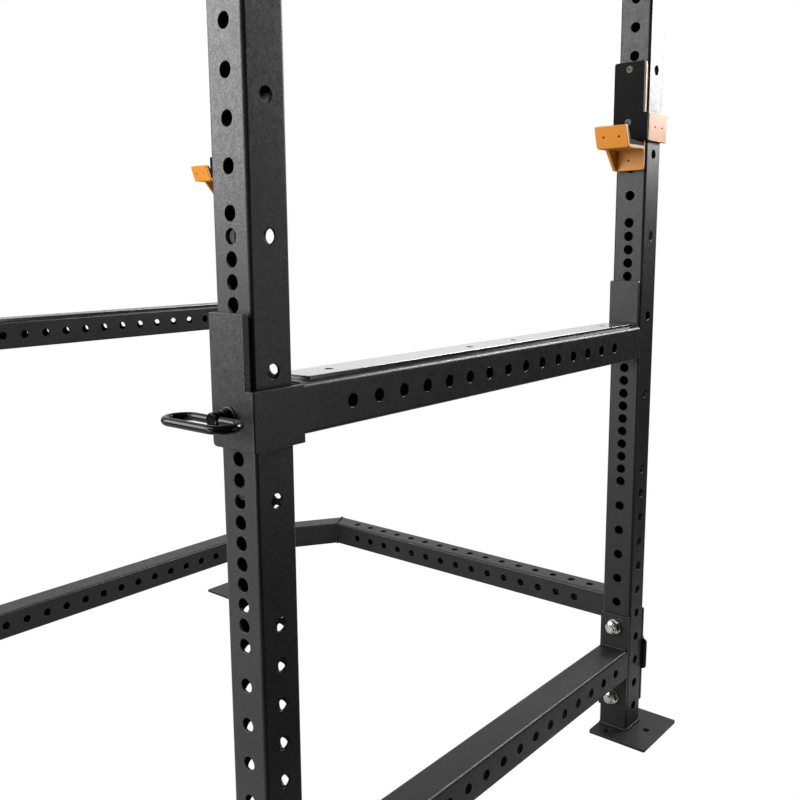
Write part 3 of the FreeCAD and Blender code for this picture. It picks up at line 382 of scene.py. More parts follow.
def sweep(shape, path, radius, count, closed=False, ripple=0.0, pitch=RIPPLE_PITCH):
    """A round bar, or a rippled bead, along a path of points. count is its points round."""
    points = [Vector(p) for p in path]
    total = len(points)
    turns = [2 * PI * k / count for k in range(count)]
    rings = []
    run = 0.0
    for i, here in enumerate(points):
        before = points[i - 1] if closed or i else here
        after = points[(i + 1) % total] if closed or i < total - 1 else here
        along = (after - before).normalized()
        if i:
            run += (here - points[i - 1]).length
        side = along.cross(Vector((0, 0, 1)))
        if side.length < 0.1:
            side = along.cross(Vector((0, 1, 0)))
        side.normalize()
        up = side.cross(along)
        r = radius * (1 + ripple * math.cos(2 * PI * run / pitch))
        rings.append([tuple(here + side * (r * math.cos(t)) + up * (r * math.sin(t))) for t in turns])
    sheet(shape, rings, closed)


def dense(path, closed=True):
    """The path with points added so that a bead's ripples show."""
    points = [Vector(p) for p in path]
    out = []
    ends = points[1:] + points[:1] if closed else points[1:]
    for a, b in zip(points, ends):
        count = max(1, int((b - a).length / BEAD_STEP + 0.5))
        out += [a.lerp(b, k / count) for k in range(count)]
    if not closed:
        out.append(points[-1])
    return out


def weld(shape, path, radius, count=8, ripple=RIPPLE, pitch=RIPPLE_PITCH):
    """A bead along straight lines from point to point."""
    sweep(shape, dense(path, closed=False), radius, count, ripple=ripple, pitch=pitch)


def weld_ring(shape, path, radius, ripple=RIPPLE):
    """A bead all the way round a path that is dense already."""
    sweep(shape, path, radius, 8, closed=True, ripple=ripple)


def ring_path(half_x, half_y, z, radius):
    """A path round a tube's outside, with round corners."""
    points = box_outline(-half_x, half_x, -half_y, half_y, radius)[0]
    return dense([(x, y, z) for x, y in points])


def circle_path(radius, z, count):
    turns = np.linspace(0, 2 * PI, count)[:-1]
    return [(radius * math.cos(t), radius * math.sin(t), z) for t in turns]


# ---------------- finishes

def ranged(tree, source, blend, reads, gives):
    """A Map Range node's result: the range it reads, stretched to the range it gives."""
    node = tree.nodes.new("ShaderNodeMapRange")
    node.interpolation_type = blend
    node.inputs["From Min"].default_value, node.inputs["From Max"].default_value = reads
    node.inputs["To Min"].default_value, node.inputs["To Max"].default_value = gives
    tree.links.new(source, node.inputs["Value"])
    return node.outputs["Result"]


def paint(name, colour, rough, rough_spread, grain, grain_size, coat=0.0, metallic=0.0,
          cloud=0.25, cloud_size=9.0, ior=1.45, speckle=0.0, depth=0.0002):
    """A procedural finish: a base colour that drifts by the share cloud, uneven gloss and a fine
    grain. speckle makes the grain's tops shine more than its hollows; depth is in metres."""
    material = bpy.data.materials.new(name)
    material.use_nodes = True
    tree = material.node_tree
    tree.nodes.clear()
    out = tree.nodes.new("ShaderNodeOutputMaterial")
    shader = tree.nodes.new("ShaderNodeBsdfPrincipled")
    tree.links.new(shader.outputs["BSDF"], out.inputs["Surface"])
    place = tree.nodes.new("ShaderNodeTexCoord")

    def noise(scale, detail, roughness=0.55):
        node = tree.nodes.new("ShaderNodeTexNoise")
        node.inputs["Scale"].default_value = scale
        node.inputs["Detail"].default_value = detail
        node.inputs["Roughness"].default_value = roughness
        tree.links.new(place.outputs["Object"], node.inputs["Vector"])
        return node.outputs["Fac"]

    def spread(source, low, high):
        """Noise, which lies around a half, stretched from low to high."""
        return ranged(tree, source, "LINEAR", (0.3, 0.7), (low, high))

    drift = noise(cloud_size, 4)
    mix = tree.nodes.new("ShaderNodeMix")
    mix.data_type = "RGBA"
    mix.inputs[6].default_value = (*[c * (1 - cloud) for c in colour], 1)
    mix.inputs[7].default_value = (*[c * (1 + cloud) for c in colour], 1)
    tree.links.new(spread(drift, 0, 1), mix.inputs[0])
    tree.links.new(mix.outputs[2], shader.inputs["Base Color"])
    tree.links.new(spread(noise(grain_size * 0.3, 3), rough - rough_spread, rough + rough_spread),
                   shader.inputs["Roughness"])
    shader.inputs["Metallic"].default_value = metallic
    shader.inputs["IOR"].default_value = ior
    shader.inputs["Coat Weight"].default_value = coat
    shader.inputs["Coat Roughness"].default_value = 0.08
    if grain:
        bump = tree.nodes.new("ShaderNodeBump")
        bump.inputs["Strength"].default_value = grain
        bump.inputs["Distance"].default_value = depth
        pitted = noise(grain_size, 2, 0.7)
        tree.links.new(pitted, bump.inputs["Height"])
        tree.links.new(bump.outputs["Normal"], shader.inputs["Normal"])
        if speckle:
            tree.links.new(spread(pitted, 0.5 - speckle, 0.5 + speckle),
                           shader.inputs["Specular IOR Level"])
    return material


BLACK = paint("powder_coat", (0.008, 0.008, 0.0083), rough=0.4, rough_spread=0.06, grain=0.6,
              grain_size=360.0, ior=1.27, speckle=0.18, depth=0.00028)
GLOSS = paint("gloss_black", (0.002, 0.002, 0.0022), rough=0.1, rough_spread=0.02, grain=0.05,
              grain_size=300.0, ior=1.19)
ZINC = paint("zinc", (0.46, 0.45, 0.4), rough=0.17, rough_spread=0.06, grain=0.1,
             grain_size=900.0, metallic=1.0, cloud=0.1)
DULL = paint("dull_zinc", (0.03, 0.029, 0.026), rough=0.5, rough_spread=0.1, grain=0.3,
             grain_size=900.0, metallic=1.0, cloud=0.3, cloud_size=200.0)
DARK = paint("black_screw", (0.006, 0.006, 0.006), rough=0.7, rough_spread=0.1, grain=0.3,
             grain_size=900.0, ior=1.1)
NYLON = paint("nylon_ring", (0.35, 0.42, 0.5), rough=0.4, rough_spread=0.05, grain=0.0,
              grain_size=200.0)
ORANGE = paint("cup_orange", (0.33, 0.122, 0.011), rough=0.4, rough_spread=0.05, grain=0.5,
               grain_size=500.0, cloud=0.06, ior=1.25, speckle=0.1, depth=0.0003)
LINER = paint("liner_plastic", (0.004, 0.004, 0.0042), rough=0.45, rough_spread=0.06, grain=0.25,
              grain_size=500.0, ior=1.07)
STRIP = paint("strip_plastic", (0.010, 0.010, 0.0103), rough=0.22, rough_spread=0.04, grain=0.1,
              grain_size=500.0, coat=0.9, ior=1.5)
CAP = paint("cap_plastic", (0.010, 0.010, 0.0103), rough=0.5, rough_spread=0.05, grain=0.3,
            grain_size=900.0, ior=1.35)


# ---------------- uprights, feet, caps

def upright(side_name, end_name, base):
    steel = Shape().move(base @ at(0, 0, PLATE))
    rows = ((1, [h - PLATE for h in FRONT_ROW]), (0, [h - PLATE for h in SIDE_ROW]))
    tube(steel, TUBE, TUBE, UPRIGHT_TOP - PLATE, rows)
    steel.build(f"upright_{side_name}_{end_name}_steel", "cage", [BLACK],
                [f"upright_{side_name}_{end_name}"], "powder_coat")


def foot(side_name, end_name, base):
    """A foot plate that reaches outwards, with three floor holes and the weld on three sides."""
    half, lip = 75, 90
    steel = Shape().move(base)
    slab(steel, box_outline(-FACE, lip, -half, half, 4), 0, PLATE, 0.7,
         [(60, 0, ANCHOR), (0, -52.5, ANCHOR), (0, 52.5, ANCHOR)])
    front = [(-BEAD_HALF, -BEAD_OUT), (25, -BEAD_OUT), (29.2, -29.2), (BEAD_OUT, -25)]
    rear = [(x, -y) for x, y in reversed(front)]
    weld(steel, [(x, y, PLATE + 1.2) for x, y in front + rear], 2.8)
    steel.build(f"foot_{side_name}_{end_name}_steel", "cage", [BLACK],
                [f"foot_plate_{side_name}_{end_name}"], "powder_coat")


def cap(shape, base):
    """A flat cap on an upright's top, and the plug under it that fills the tube's end."""
    plug, deep = 26.5, 22
    shape.move(base)
    slab(shape, box_outline(-FACE, FACE, -FACE, FACE, CORNER), UPRIGHT_TOP, CAP_TOP, 2.5, steps=4)
    slab(shape, box_outline(-plug, plug, -plug, plug, 2), UPRIGHT_TOP - deep, UPRIGHT_TOP, 1.0)


caps = Shape()
for side_name, mirror in SIDES:
    for end_name, y in ENDS:
        base = mirror @ at(SIDE, y)
        upright(side_name, end_name, base)
        foot(side_name, end_name, base)
        cap(caps, base)
caps.build("upright_caps_plastic", "cage", [CAP], ["upright_caps"], "cap_plastic")


# ---------------- crossmembers

SIDE_RISE, CROSS_RISE = 75, 50  # from a flange's middle up and down to its bolts


def flange_y(shape, y0, z):
    """A flange across Y on an upright's face, with its two bolt holes."""
    plate(shape, SIDE - FACE, SIDE + FACE, z - 100, z + 100, y0, y0 + PLATE, 0.7, 3,
          [(SIDE, z - SIDE_RISE, HOLE), (SIDE, z + SIDE_RISE, HOLE)])


def flange_x(shape, y):
    """A flange against an upright's inner face at the top, with its two bolt holes."""
    side_plate(shape, y - FACE, y + FACE, CROWN - 80, CROWN + 80, SIDE - JOIN, SIDE - FACE, 0.7, 3,
               [(y, CROWN - CROSS_RISE, HOLE), (y, CROWN + CROSS_RISE, HOLE)])


def side_member(side_name, mirror, level, z):
    """A tube from a front upright to a rear one, with its flanges."""
    length = REAR - FRONT - 2 * JOIN
    steel = Shape().move(mirror @ at(SIDE, FRONT + JOIN, z) @ ALONG_Y)
    tube(steel, TUBE, TUBE, length, ((0, middle_row(length, 17)),))
    for end_z in (1, length - 1):
        for y in (-BEAD_OUT, BEAD_OUT):
            weld(steel, [(-BEAD_HALF, y, end_z), (BEAD_HALF, y, end_z)], 3.2)
    steel.move(mirror)
    flange_y(steel, FRONT + FACE, z)
    flange_y(steel, REAR - JOIN, z)
    steel.build(f"side_{level}_{side_name}_steel", "cage", [BLACK],
                [f"side_{level}_{side_name}"], "powder_coat")


def rear_bow():
    """A base tube that bows out to the rear: a middle length and two mitred arms."""
    bow = Shape()
    half, depth = 446, 250
    bow_y = REAR + depth
    out, aside = depth - JOIN, SIDE - half
    heading = math.atan2(out, aside)
    reach = math.hypot(out, aside)
    lean = math.tan(heading / 2)
    bow.move(at(-half, bow_y, BASE) @ ALONG_X)
    tube(bow, TUBE, TUBE, 2 * half, ((1, middle_row(2 * half, 15)), (0, middle_row(2 * half, 16))),
         start=(0, -lean), end=(0, lean))
    section = ring_path(FACE + 0.4, FACE + 0.4, 0, CORNER + 0.4)
    seam_limit = 27.4  # keeps the seam's bead inside the cage's box
    for side_name, mirror in SIDES:
        bow.move(mirror @ at(half, bow_y, BASE) @ Matrix.Rotation(-heading, 4, "Z") @ ALONG_X)
        tube(bow, TUBE, TUBE, reach, start=(0, -lean), end=(0, 1 / math.tan(heading)))
        seam = [(x, min(y, seam_limit), -lean * min(y, seam_limit)) for x, y, z in section]
        weld_ring(bow, seam, 2.2, 0.12)
        foot_seam = [(x, y, reach - 1 + y / math.tan(heading)) for x, y, z in section]
        weld_ring(bow, foot_seam, 2.6, 0.12)
        bow.move(mirror)
        for x in (SIDE - 32.5, SIDE + 32.5):
            weld(bow, [(x, REAR + JOIN, BASE - 27), (x, REAR + JOIN, BASE + 27)], 3.4, 10)
        flange_y(bow, REAR + FACE, BASE)
    bow.build("rear_base_bow_steel", "cage", [BLACK], ["rear_base_bow"], "powder_coat")


def top_members():
    """The rear top crossmember and the round pull-up bar, from side to side."""
    length = 2 * (SIDE - JOIN)
    bar_radius = 16
    top = Shape().move(at(JOIN - SIDE, REAR, CROWN) @ ALONG_X)
    tube(top, TUBE, TUBE, length, ((1, middle_row(length, 19)),))
    bar = Shape().move(at(JOIN - SIDE, FRONT, CROWN) @ ALONG_X)
    lathe(bar, [(bar_radius, 0), (bar_radius, length)], 64)
    for side_name, mirror in SIDES:
        for shape, y in ((top, REAR), (bar, FRONT)):
            shape.move(mirror)
            flange_x(shape, y)
        bar.move(mirror @ at(SIDE - JOIN - 1, FRONT, CROWN) @ ALONG_X)
        weld_ring(bar, circle_path(bar_radius + 1, 0, 150), 2.6)
        for z in (CROWN - BEAD_OUT, CROWN + BEAD_OUT):
            top.move(mirror @ at(SIDE - JOIN - 1, REAR, z))
            weld(top, [(0, -BEAD_HALF, 0), (0, BEAD_HALF, 0)], 3.2)
    top.build("rear_top_steel", "cage", [BLACK], ["rear_top_crossmember"], "powder_coat")
    bar.build("pull_up_bar_steel", "cage", [BLACK], ["pull_up_bar"], "powder_coat")


for side_name, mirror in SIDES:
    side_member(side_name, mirror, "base", BASE)
    side_member(side_name, mirror, "crown", CROWN)
rear_bow()
top_members()


# ---------------- bolts

# The thickness of a washer, a head, a nut's hexagon and a whole nut, and what a bolt sticks out
WASHER, HEAD, HEX, NUT, OVERHANG = 3.0, 10.0, 11.0, 14.0, 3.0


def hexagon(shape, height, bevel_low, bevel_high, bore=TINY):
    """A 24 mm hexagon with its corners turned off at the chosen ends."""
    count = 72
    apothem = 12.0
    cone = apothem * 0.97  # where the bevel starts
    bevel_rise, bevel_out, bevel_up = 0.577, 0.5, 0.866  # a slope of 30 degrees and its normal
    turns = [2 * PI * (i + 0.5) / count for i in range(count)]
    reach = [apothem / math.cos((t + PI / 6) % (PI / 3) - PI / 6) for t in turns]
    drop = [max(0.0, r - cone) * bevel_rise for r in reach]
    ends = []
    for z, sign, bevel in ((0, 1, bevel_low), (height, -1, bevel_high)):
        ends.append([(r * math.cos(t), r * math.sin(t), z + (sign * d if bevel else 0))
                     for r, t, d in zip(reach, turns, drop)])
    for i in range(count):
        j = (i + 1) % count
        middle_turn = (turns[i] + PI / count + PI / 6) % (2 * PI)
        facet = math.floor(middle_turn / (PI / 3)) * PI / 3
        n = (math.cos(facet), math.sin(facet), 0)
        shape.flat([ends[0][i], ends[0][j], ends[1][j], ends[1][i]], n)
    for edge, z, sign, bevel in ((ends[0], 0, -1, bevel_low), (ends[1], height, 1, bevel_high)):
        if bevel:
            inner = [(cone * math.cos(t), cone * math.sin(t), z) for t in turns]
            slant = [(math.cos(t) * bevel_out, math.sin(t) * bevel_out, sign * bevel_up) for t in turns]
            shape.band(edge, inner, slant, slant)
            edge = inner
        hole = [(bore * math.cos(t), bore * math.sin(t), z) for t in turns]
        up = [(0, 0, sign)] * count
        shape.band(edge, hole, up, up)


def thread(shape, z0, z1):
    """A bolt's thread along Z, with a chamfered end at z1."""
    pitch, depth, chamfer = 2.0, 0.9, 1.6
    count, levels_per_turn = 24, 8
    turns = [2 * PI * k / count for k in range(count)]
    rings = []
    levels = int((z1 - z0) / pitch * levels_per_turn) + 1
    for i in range(levels + 1):
        z = z0 + (z1 - z0) * i / levels
        ring = []
        for k, t in enumerate(turns):
            phase = (z / pitch - k / count) % 1.0
            r = min(BOLT - depth * abs(2 * phase - 1), BOLT - chamfer + (z1 - z))
            ring.append((r * math.cos(t), r * math.sin(t), z))
        rings.append(ring)
    sheet(shape, [ring[::-1] for ring in rings])
    tip = [(TINY * math.cos(t), TINY * math.sin(t), z1) for t in turns]
    up = [(0, 0, 1)] * count
    shape.band(rings[-1], tip, up, up)


def washer(shape, z):
    bore, outer, edge = 8.1, 15, 0.4
    lathe(shape, [(bore, z), (outer - edge, z), (outer, z + edge), (outer, z + WASHER - edge),
                  (outer - edge, z + WASHER), (bore, z + WASHER)])


def lock_nut(shape):
    """A nut with a steel collar round a nylon ring, which is the shape's second material."""
    shape.slot = 0
    hexagon(shape, HEX, True, True, 8.1)
    lathe(shape, [(11.4, 10.6), (11.4, 12.2), (10.6, 13.4), (9.6, NUT), (9.2, NUT), (9.2, 13.2)],
          FINE_ARC)
    shape.slot = 1
    lathe(shape, [(9.4, 13.3), (7.9, 13.3), (7.9, HEX)], FINE_ARC)


def bolts():
    """Every bolt through an upright. seat is the face under the head's washer; grip is how thick
    the steel between the washers is."""
    short, long, nuts, washers = Shape(), Shape(), Shape(), Shape()
    one_flange, two_flanges = TUBE + PLATE, TUBE + 2 * PLATE
    for side_name, mirror in SIDES:
        spots = []
        for rise in (-SIDE_RISE, SIDE_RISE):
            spots += [(short, at(SIDE, FRONT - FACE, BASE + rise) @ ALONG_Y, one_flange),
                      (short, at(SIDE, FRONT - FACE, CROWN + rise) @ ALONG_Y, one_flange),
                      (short, at(SIDE, REAR + FACE, CROWN + rise) @ ALONG_MINUS_Y, one_flange),
                      (long, at(SIDE, REAR + JOIN, BASE + rise) @ ALONG_MINUS_Y, two_flanges)]
        for rise in (-CROSS_RISE, CROSS_RISE):
            for y in (FRONT, REAR):
                spots.append((short, at(SIDE + FACE, y, CROWN + rise) @ ALONG_MINUS_X, one_flange))
        for index, (bolt, seat, grip) in enumerate(spots):
            place = mirror @ seat
            # Each head and nut stops at its own angle
            head_turn = Matrix.Rotation(0.35 + index * 1.31, 4, "Z")
            nut_turn = Matrix.Rotation(0.1 + index * 0.77, 4, "Z")
            bolt.move(place @ head_turn @ at(0, 0, -WASHER - HEAD))
            hexagon(bolt, HEAD, True, False)
            bolt.move(place @ at(0, 0, -WASHER))
            plain = grip - 2 * WASHER
            lathe(bolt, [(BOLT, 0), (BOLT, plain)])
            thread(bolt, plain, grip + 2 * WASHER + NUT + OVERHANG)
            washers.move(place)
            washer(washers, -WASHER)
            washer(washers, grip)
            nuts.move(place @ nut_turn @ at(0, 0, grip + WASHER))
            lock_nut(nuts)
    short.build("bolts_short_steel", "cage", [ZINC], ["bolts_short"], "zinc")
    long.build("bolts_long_steel", "cage", [ZINC], ["bolts_long"], "zinc")
    nuts.build("nuts_steel", "cage", [ZINC, NYLON], ["nuts"], "zinc")
    washers.build("washers_steel", "cage", [ZINC], ["washers"], "zinc")


bolts()


# ---------------- safeties

def sunk_screw(shape, place):
    """A countersunk screw along Z that ends at its flat head, with a hexagonal socket in it."""
    length, shank, head, cone = 13.6, 3, 6.1, 3.4
    key, key_deep = 2.2, 1.8
    count = 36
    shape.move(place)
    lathe(shape, [(shank, 0), (shank, length - cone), (head, length)], count)
    shape.move(place @ at(0, 0, length))
    ring, n = circle(0, 0, head, count)
    turns = [2 * PI * (i + 0.5) / count for i in range(count)]
    flats = [key / math.cos((t % (PI / 3)) - PI / 6) for t in turns]
    socket = [(r * math.cos(t), r * math.sin(t)) for r, t in zip(flats, turns)]
    up, inward = [(0, 0, 1)] * count, [(-a, -b, 0.1) for a, b in n]
    mouth, bottom = [(*p, 0) for p in socket], [(*p, -key_deep) for p in socket]
    centre = [(x * TINY, y * TINY, -key_deep) for x, y in socket]
    shape.band([(*p, 0) for p in ring], mouth, up, up)
    shape.band(mouth, bottom, inward, inward)
    shape.band(bottom, centre, up, up)


def front_bracket(side_name, front):
    """A sleeve round the upright that opens to the cage's inside, with a tall face and the boss
    that the pull pin goes through."""
    bracket = Shape().move(front)
    half, low, high = BRACKET_HALF, SLEEVE_LOW, SLEEVE_HIGH
    lap, back_in, face_right = 26, BEAM_START - PLATE, 36
    wrap = rounded([(lap, -BRACKET_OUT), (BRACKET_OUT, -BRACKET_OUT), (BRACKET_OUT, BEAM_START),
                    (-half, BEAM_START), (-half, back_in), (BRACKET_IN, back_in),
                    (BRACKET_IN, -BRACKET_IN), (lap, -BRACKET_IN)],
                   [0.5, 2.2, 2.5, 1, 1, 0.9, 0.9, 0.5])
    slab(bracket, wrap, low, high)
    # The face plate overlaps the sleeve and lies a hair behind it, so that the sleeve's face shows
    bracket.move(front @ ACROSS_Y)
    face = rounded([(-half, low), (face_right, low), (face_right, high), (half, high),
                    (half, BRACKET_TOP), (-half, BRACKET_TOP)], [6, 0.5, 0.5, 0.9, 2, 2])
    slab(bracket, face, BRACKET_IN, BRACKET_OUT - 0.02)
    bracket.slot = 1
    bracket.move(front @ at(0, -BRACKET_OUT, PIN_Z) @ ALONG_MINUS_Y)
    lathe(bracket, [(11, 0), (11, 10.8), (10.7, 11.5), (10, 12), (8.05, 12), (8.05, 0)], FINE_ARC)
    bracket.slot = 0
    weld_ring(bracket, circle_path(11.6, 0.6, 100), 1.8)
    bracket.move(front @ at(0, BEAM_START, BEAM_Z) @ ALONG_Y)
    weld_ring(bracket, ring_path(BEAM_WIDE / 2 + 0.6, FACE + 0.6, 0.8, 6), 2.2)
    bracket.build(f"safety_front_{side_name}_steel", "cage", [BLACK, GLOSS],
                  [f"safety_front_bracket_{side_name}"], "powder_coat")


def rear_bracket(side_name, rear):
    """A tall plate in front of the upright, with the peg that hangs it in a hole."""
    bracket = Shape().move(rear)
    plate(bracket, -BRACKET_HALF, BRACKET_HALF, SLEEVE_LOW, BRACKET_TOP, -BRACKET_OUT, -BRACKET_IN,
          0.9, 3)
    bracket.move(rear @ at(0, -BRACKET_IN, PIN_Z) @ ALONG_Y)
    lathe(bracket, [(BOLT, 0), (BOLT, 50), (5, 53), (0, 53)], FINE_ARC)
    bracket.move(rear @ at(0, -BRACKET_OUT - 0.8, BEAM_Z) @ ALONG_Y)
    weld_ring(bracket, ring_path(BRACKET_HALF + 0.6, FACE + 0.6, 0, 6), 2.2)
    bracket.build(f"safety_rear_{side_name}_steel", "cage", [BLACK],
                  [f"safety_rear_bracket_{side_name}"], "powder_coat")


def bracket_liner(end_name, side_name, place):
    """The plastic between a bracket and its upright; a front one has a side part too."""
    liner = Shape().move(place)
    inset, thick = 4, 3
    low = SLEEVE_LOW + inset
    plate(liner, -LINER_HALF, LINER_HALF, low, BRACKET_TOP - inset, -BRACKET_IN,
          thick - BRACKET_IN, 0.4, 2)
    if end_name == "front":
        side_plate(liner, -31, 30, low, SLEEVE_HIGH - inset, BRACKET_IN - thick, BRACKET_IN, 0.4, 2)
    liner.build(f"safety_{end_name}_{side_name}_liner", "cage", [LINER],
                [f"safety_{end_name}_liner_{side_name}"], "liner_plastic")


def safety_beam(side_name, mirror):
    beam = Shape().move(mirror @ at(SIDE, FRONT + BEAM_START, BEAM_Z) @ ALONG_Y)
    length = REAR - FRONT - BEAM_START - BRACKET_OUT
    first_hole = 89
    tube(beam, BEAM_WIDE, TUBE, length, ((0, row(first_hole, PITCH, 15)),))
    beam.build(f"safety_beam_{side_name}_steel", "cage", [BLACK],
               [f"safety_beam_{side_name}"], "powder_coat")


def safety_strips(side_name, mirror):
    """Two lengths of plastic on the beam's top, with two sunk screws in each."""
    strips, screws = Shape().move(mirror @ at(SIDE)), Shape()
    start, length, gap, screw_in = 64, 424, 0.2, 60
    inner_x, outer_x = -31, 23
    middle_x = (inner_x + outer_x) / 2
    low_z = BEAM_Z + TUBE / 2
    high_z = low_z + PLATE
    for index in (0, 1):
        y0 = FRONT + start + length * index
        y1 = y0 + length
        outline = box_outline(inner_x, outer_x, y0 + gap, y1 - gap, 1)
        spots = [(middle_x, y0 + screw_in), (middle_x, y1 - screw_in)]
        slab(strips, outline, low_z, high_z, 0.6, [(x, y, 3.0) for x, y in spots], 3.5)
        for x, y in spots:
            sunk_screw(screws, mirror @ at(SIDE + x, y, low_z - 8))
    strips.build(f"safety_strips_{side_name}_plastic", "cage", [STRIP],
                 [f"safety_strips_{side_name}"], "liner_plastic")
    screws.build(f"safety_screws_{side_name}_steel", "cage", [DARK],
                 [f"safety_strip_screws_{side_name}"], "zinc")


def pull_pin(side_name, front):
    """The pin, from its tip in the sleeve's rear plate to its knob in front of the boss."""
    pin = Shape().move(front @ at(0, 36, PIN_Z) @ ALONG_MINUS_Y)
    lathe(pin, [(0, 0), (5, 0), (BOLT, 3), (BOLT, 90.5), (9, 90.5), (9.5, 91), (9.5, 101.5),
                (9.2, 102.6), (8.4, 103.3), (7.4, 103.5), (0, 103.5)], FINE_ARC)
    pin.build(f"pull_pin_{side_name}_steel", f"pull_pin_{side_name}", [GLOSS],
              [f"pull_pin_{side_name}"], "black_steel")


def pull_handle(side_name, front):
    """A closed link of round bar: two straight sides and two half circles."""
    link = Shape().move(front @ at(0, -61, PIN_Z))
    half, bend, bar_radius, count = 33.0, 19.0, 5, 40
    turns = np.linspace(0, PI, 33)[:-1]
    straight = [-half + 2 * half * i / count for i in range(count)]
    path = [(x, 0, 0) for x in straight]
    path += [(half + bend * math.sin(t), bend * math.cos(t) - bend, 0) for t in turns]
    path += [(-x, -2 * bend, 0) for x in straight]
    path += [(-half - bend * math.sin(t), -bend * math.cos(t) - bend, 0) for t in turns]
    sweep(link, path, bar_radius, 24, closed=True)
    link.build(f"pull_handle_{side_name}_steel", f"pull_pin_{side_name}", [GLOSS],
               [f"pull_handle_{side_name}"], "gloss_black")


for side_name, mirror in SIDES:
    front, rear = mirror @ at(SIDE, FRONT), mirror @ at(SIDE, REAR)
    front_bracket(side_name, front)
    bracket_liner("front", side_name, front)
    rear_bracket(side_name, rear)
    bracket_liner("rear", side_name, rear)
    safety_beam(side_name, mirror)
    safety_strips(side_name, mirror)
    pull_pin(side_name, front)
    pull_handle(side_name, front)


# ---------------- bar cups

def cup_frame(side_name, body, here):
    """The orange steel: a back with a side arm, a seat, its leaning lip, and a gusset below."""
    steel = Shape().move(here @ ACROSS_Y)
    half, arm = CUP_HALF, CUP_ARM
    back = rounded([(-half, CUP_LOW), (half, CUP_LOW), (half, ARM_LOW), (arm, ARM_LOW),
                    (arm, ARM_HIGH), (half, ARM_HIGH), (half, CUP_TOP), (-half, CUP_TOP)],
                   [3, 3, 1.2, 1.5, 1.5, 1.2, 4, 4])
    slab(steel, back, CUP_IN, CUP_OUT, 0.8, [(0, 1138, 2.0)], 0.3)
    steel.move(here)
    side_plate(steel, -35.6, 36, ARM_LOW, ARM_HIGH, arm - PLATE, arm, 0.8, 3,
               [(-15, 1197, 2.0), (15, 1197, 2.0)])
    seat, seat_front, lip_y = 31, -103, -106
    slab(steel, box_outline(-seat, seat, seat_front, -40.6, 1), SEAT_LOW, SEAT_HIGH, 0.7)
    lip_out, lip_up = 13, 37
    lip_turn = Matrix.Rotation(math.atan2(lip_out, lip_up), 4, "X")
    steel.move(here @ at(0, lip_y, SEAT_LOW) @ lip_turn)
    plate(steel, -seat, seat, 0, math.hypot(lip_out, lip_up), 0, PLATE, 0.8, 3,
          [(-15, 20, 2.0), (15, 20, 2.0)], 0.3)
    steel.move(here)
    # The photograph shows the gusset on the same side of both cups
    web_x, bead_x = (-29, -22.2) if side_name == "right" else (23, 22.2)
    web = rounded([(-CUP_OUT, CUP_LOW), (-CUP_OUT, 1157), (-78, 1157), (-45, CUP_LOW)],
                  [0.9, 0.9, 1.5, 1.5])
    side_slab(steel, web, web_x, web_x + PLATE)
    beads = ((2.0, (-28, -41.6, 1155.2), (28, -41.6, 1155.2)),
             (2.0, (-29, -100.6, 1162.8), (29, -100.6, 1162.8)),
             (1.6, (bead_x, -42, 1122), (bead_x, -42, 1154)),
             (1.6, (bead_x, -44, 1155), (bead_x, -74, 1155)),
             (1.6, (34, -34.4, 1175), (34, -34.4, 1219)))
    for radius, start, end in beads:
        weld(steel, (start, end), radius, ripple=0.12, pitch=2.6)
    steel.build(f"cup_{side_name}_steel", body, [ORANGE], [f"cup_frame_{side_name}"], "cup_orange")


def cup_peg(side_name, body, here):
    peg = Shape().move(here @ at(0, -CUP_OUT, 1275) @ ALONG_Y)
    lathe(peg, [(0, 0), (BOLT, 0), (BOLT, 57.6), (5, 60.6), (0, 60.6)], FINE_ARC)
    peg.build(f"cup_{side_name}_peg", body, [ZINC], [f"cup_peg_{side_name}"], "zinc")


def cup_rear_liner(side_name, body, here):
    liner = Shape().move(here)
    inset, behind = 4, FACE + 0.4
    plate(liner, -LINER_HALF, LINER_HALF, CUP_LOW + inset, CUP_TOP - inset, -CUP_IN, -behind, 0.5, 3)
    liner.build(f"cup_{side_name}_rear_liner", body, [LINER], [f"cup_rear_liner_{side_name}"],
                "liner_plastic")


def cup_face_liner(side_name, body, here):
    """The tall plastic face, with a hole for each sunk screw."""
    liner = Shape().move(here @ ACROSS_Y)
    half, arm = CUP_HALF, CUP_ARM
    face = rounded([(-half, ARM_LOW), (arm, ARM_LOW), (arm, ARM_HIGH), (half, ARM_HIGH),
                    (half, CUP_TOP), (-half, CUP_TOP)], [1.5, 1.5, 1.5, 1.2, 4, 4])
    slab(liner, face, CUP_OUT, CUP_FACE, 0.8, [(0, z, 3.0) for z in CUP_SCREWS], 3.5)
    liner.build(f"cup_{side_name}_face_liner", body, [LINER], [f"cup_face_liner_{side_name}"],
                "liner_plastic")


def cup_screws(side_name, body, here):
    screws = Shape()
    for z in CUP_SCREWS:
        sunk_screw(screws, here @ at(0, -CUP_IN, z) @ ALONG_MINUS_Y)
    screws.build(f"cup_{side_name}_screws", body, [DULL], [f"cup_screws_{side_name}"], "zinc")


def cup_seat_liner(side_name, body, here):
    """The plastic on the seat, and on the inside of the lip."""
    liner = Shape().move(here)
    top = SEAT_HIGH + 8
    slab(liner, box_outline(-30, 30, -95, -CUP_OUT, 1), SEAT_HIGH, top, 0.7)
    lip = rounded([(-100, SEAT_HIGH), (-95, SEAT_HIGH), (-95, top), (-108, 1193), (-113, 1193)],
                  [0.8, 0.5, 1.5, 1.5, 1.5])
    side_slab(liner, lip, -30, 30, 0.5)
    liner.build(f"cup_{side_name}_seat_liner", body, [LINER], [f"cup_seat_liner_{side_name}"],
                "liner_plastic")


for side_name, mirror in SIDES:
    for make in (cup_frame, cup_peg, cup_rear_liner, cup_face_liner, cup_screws, cup_seat_liner):
        make(side_name, f"bar_cup_{side_name}", mirror @ at(SIDE, REAR))


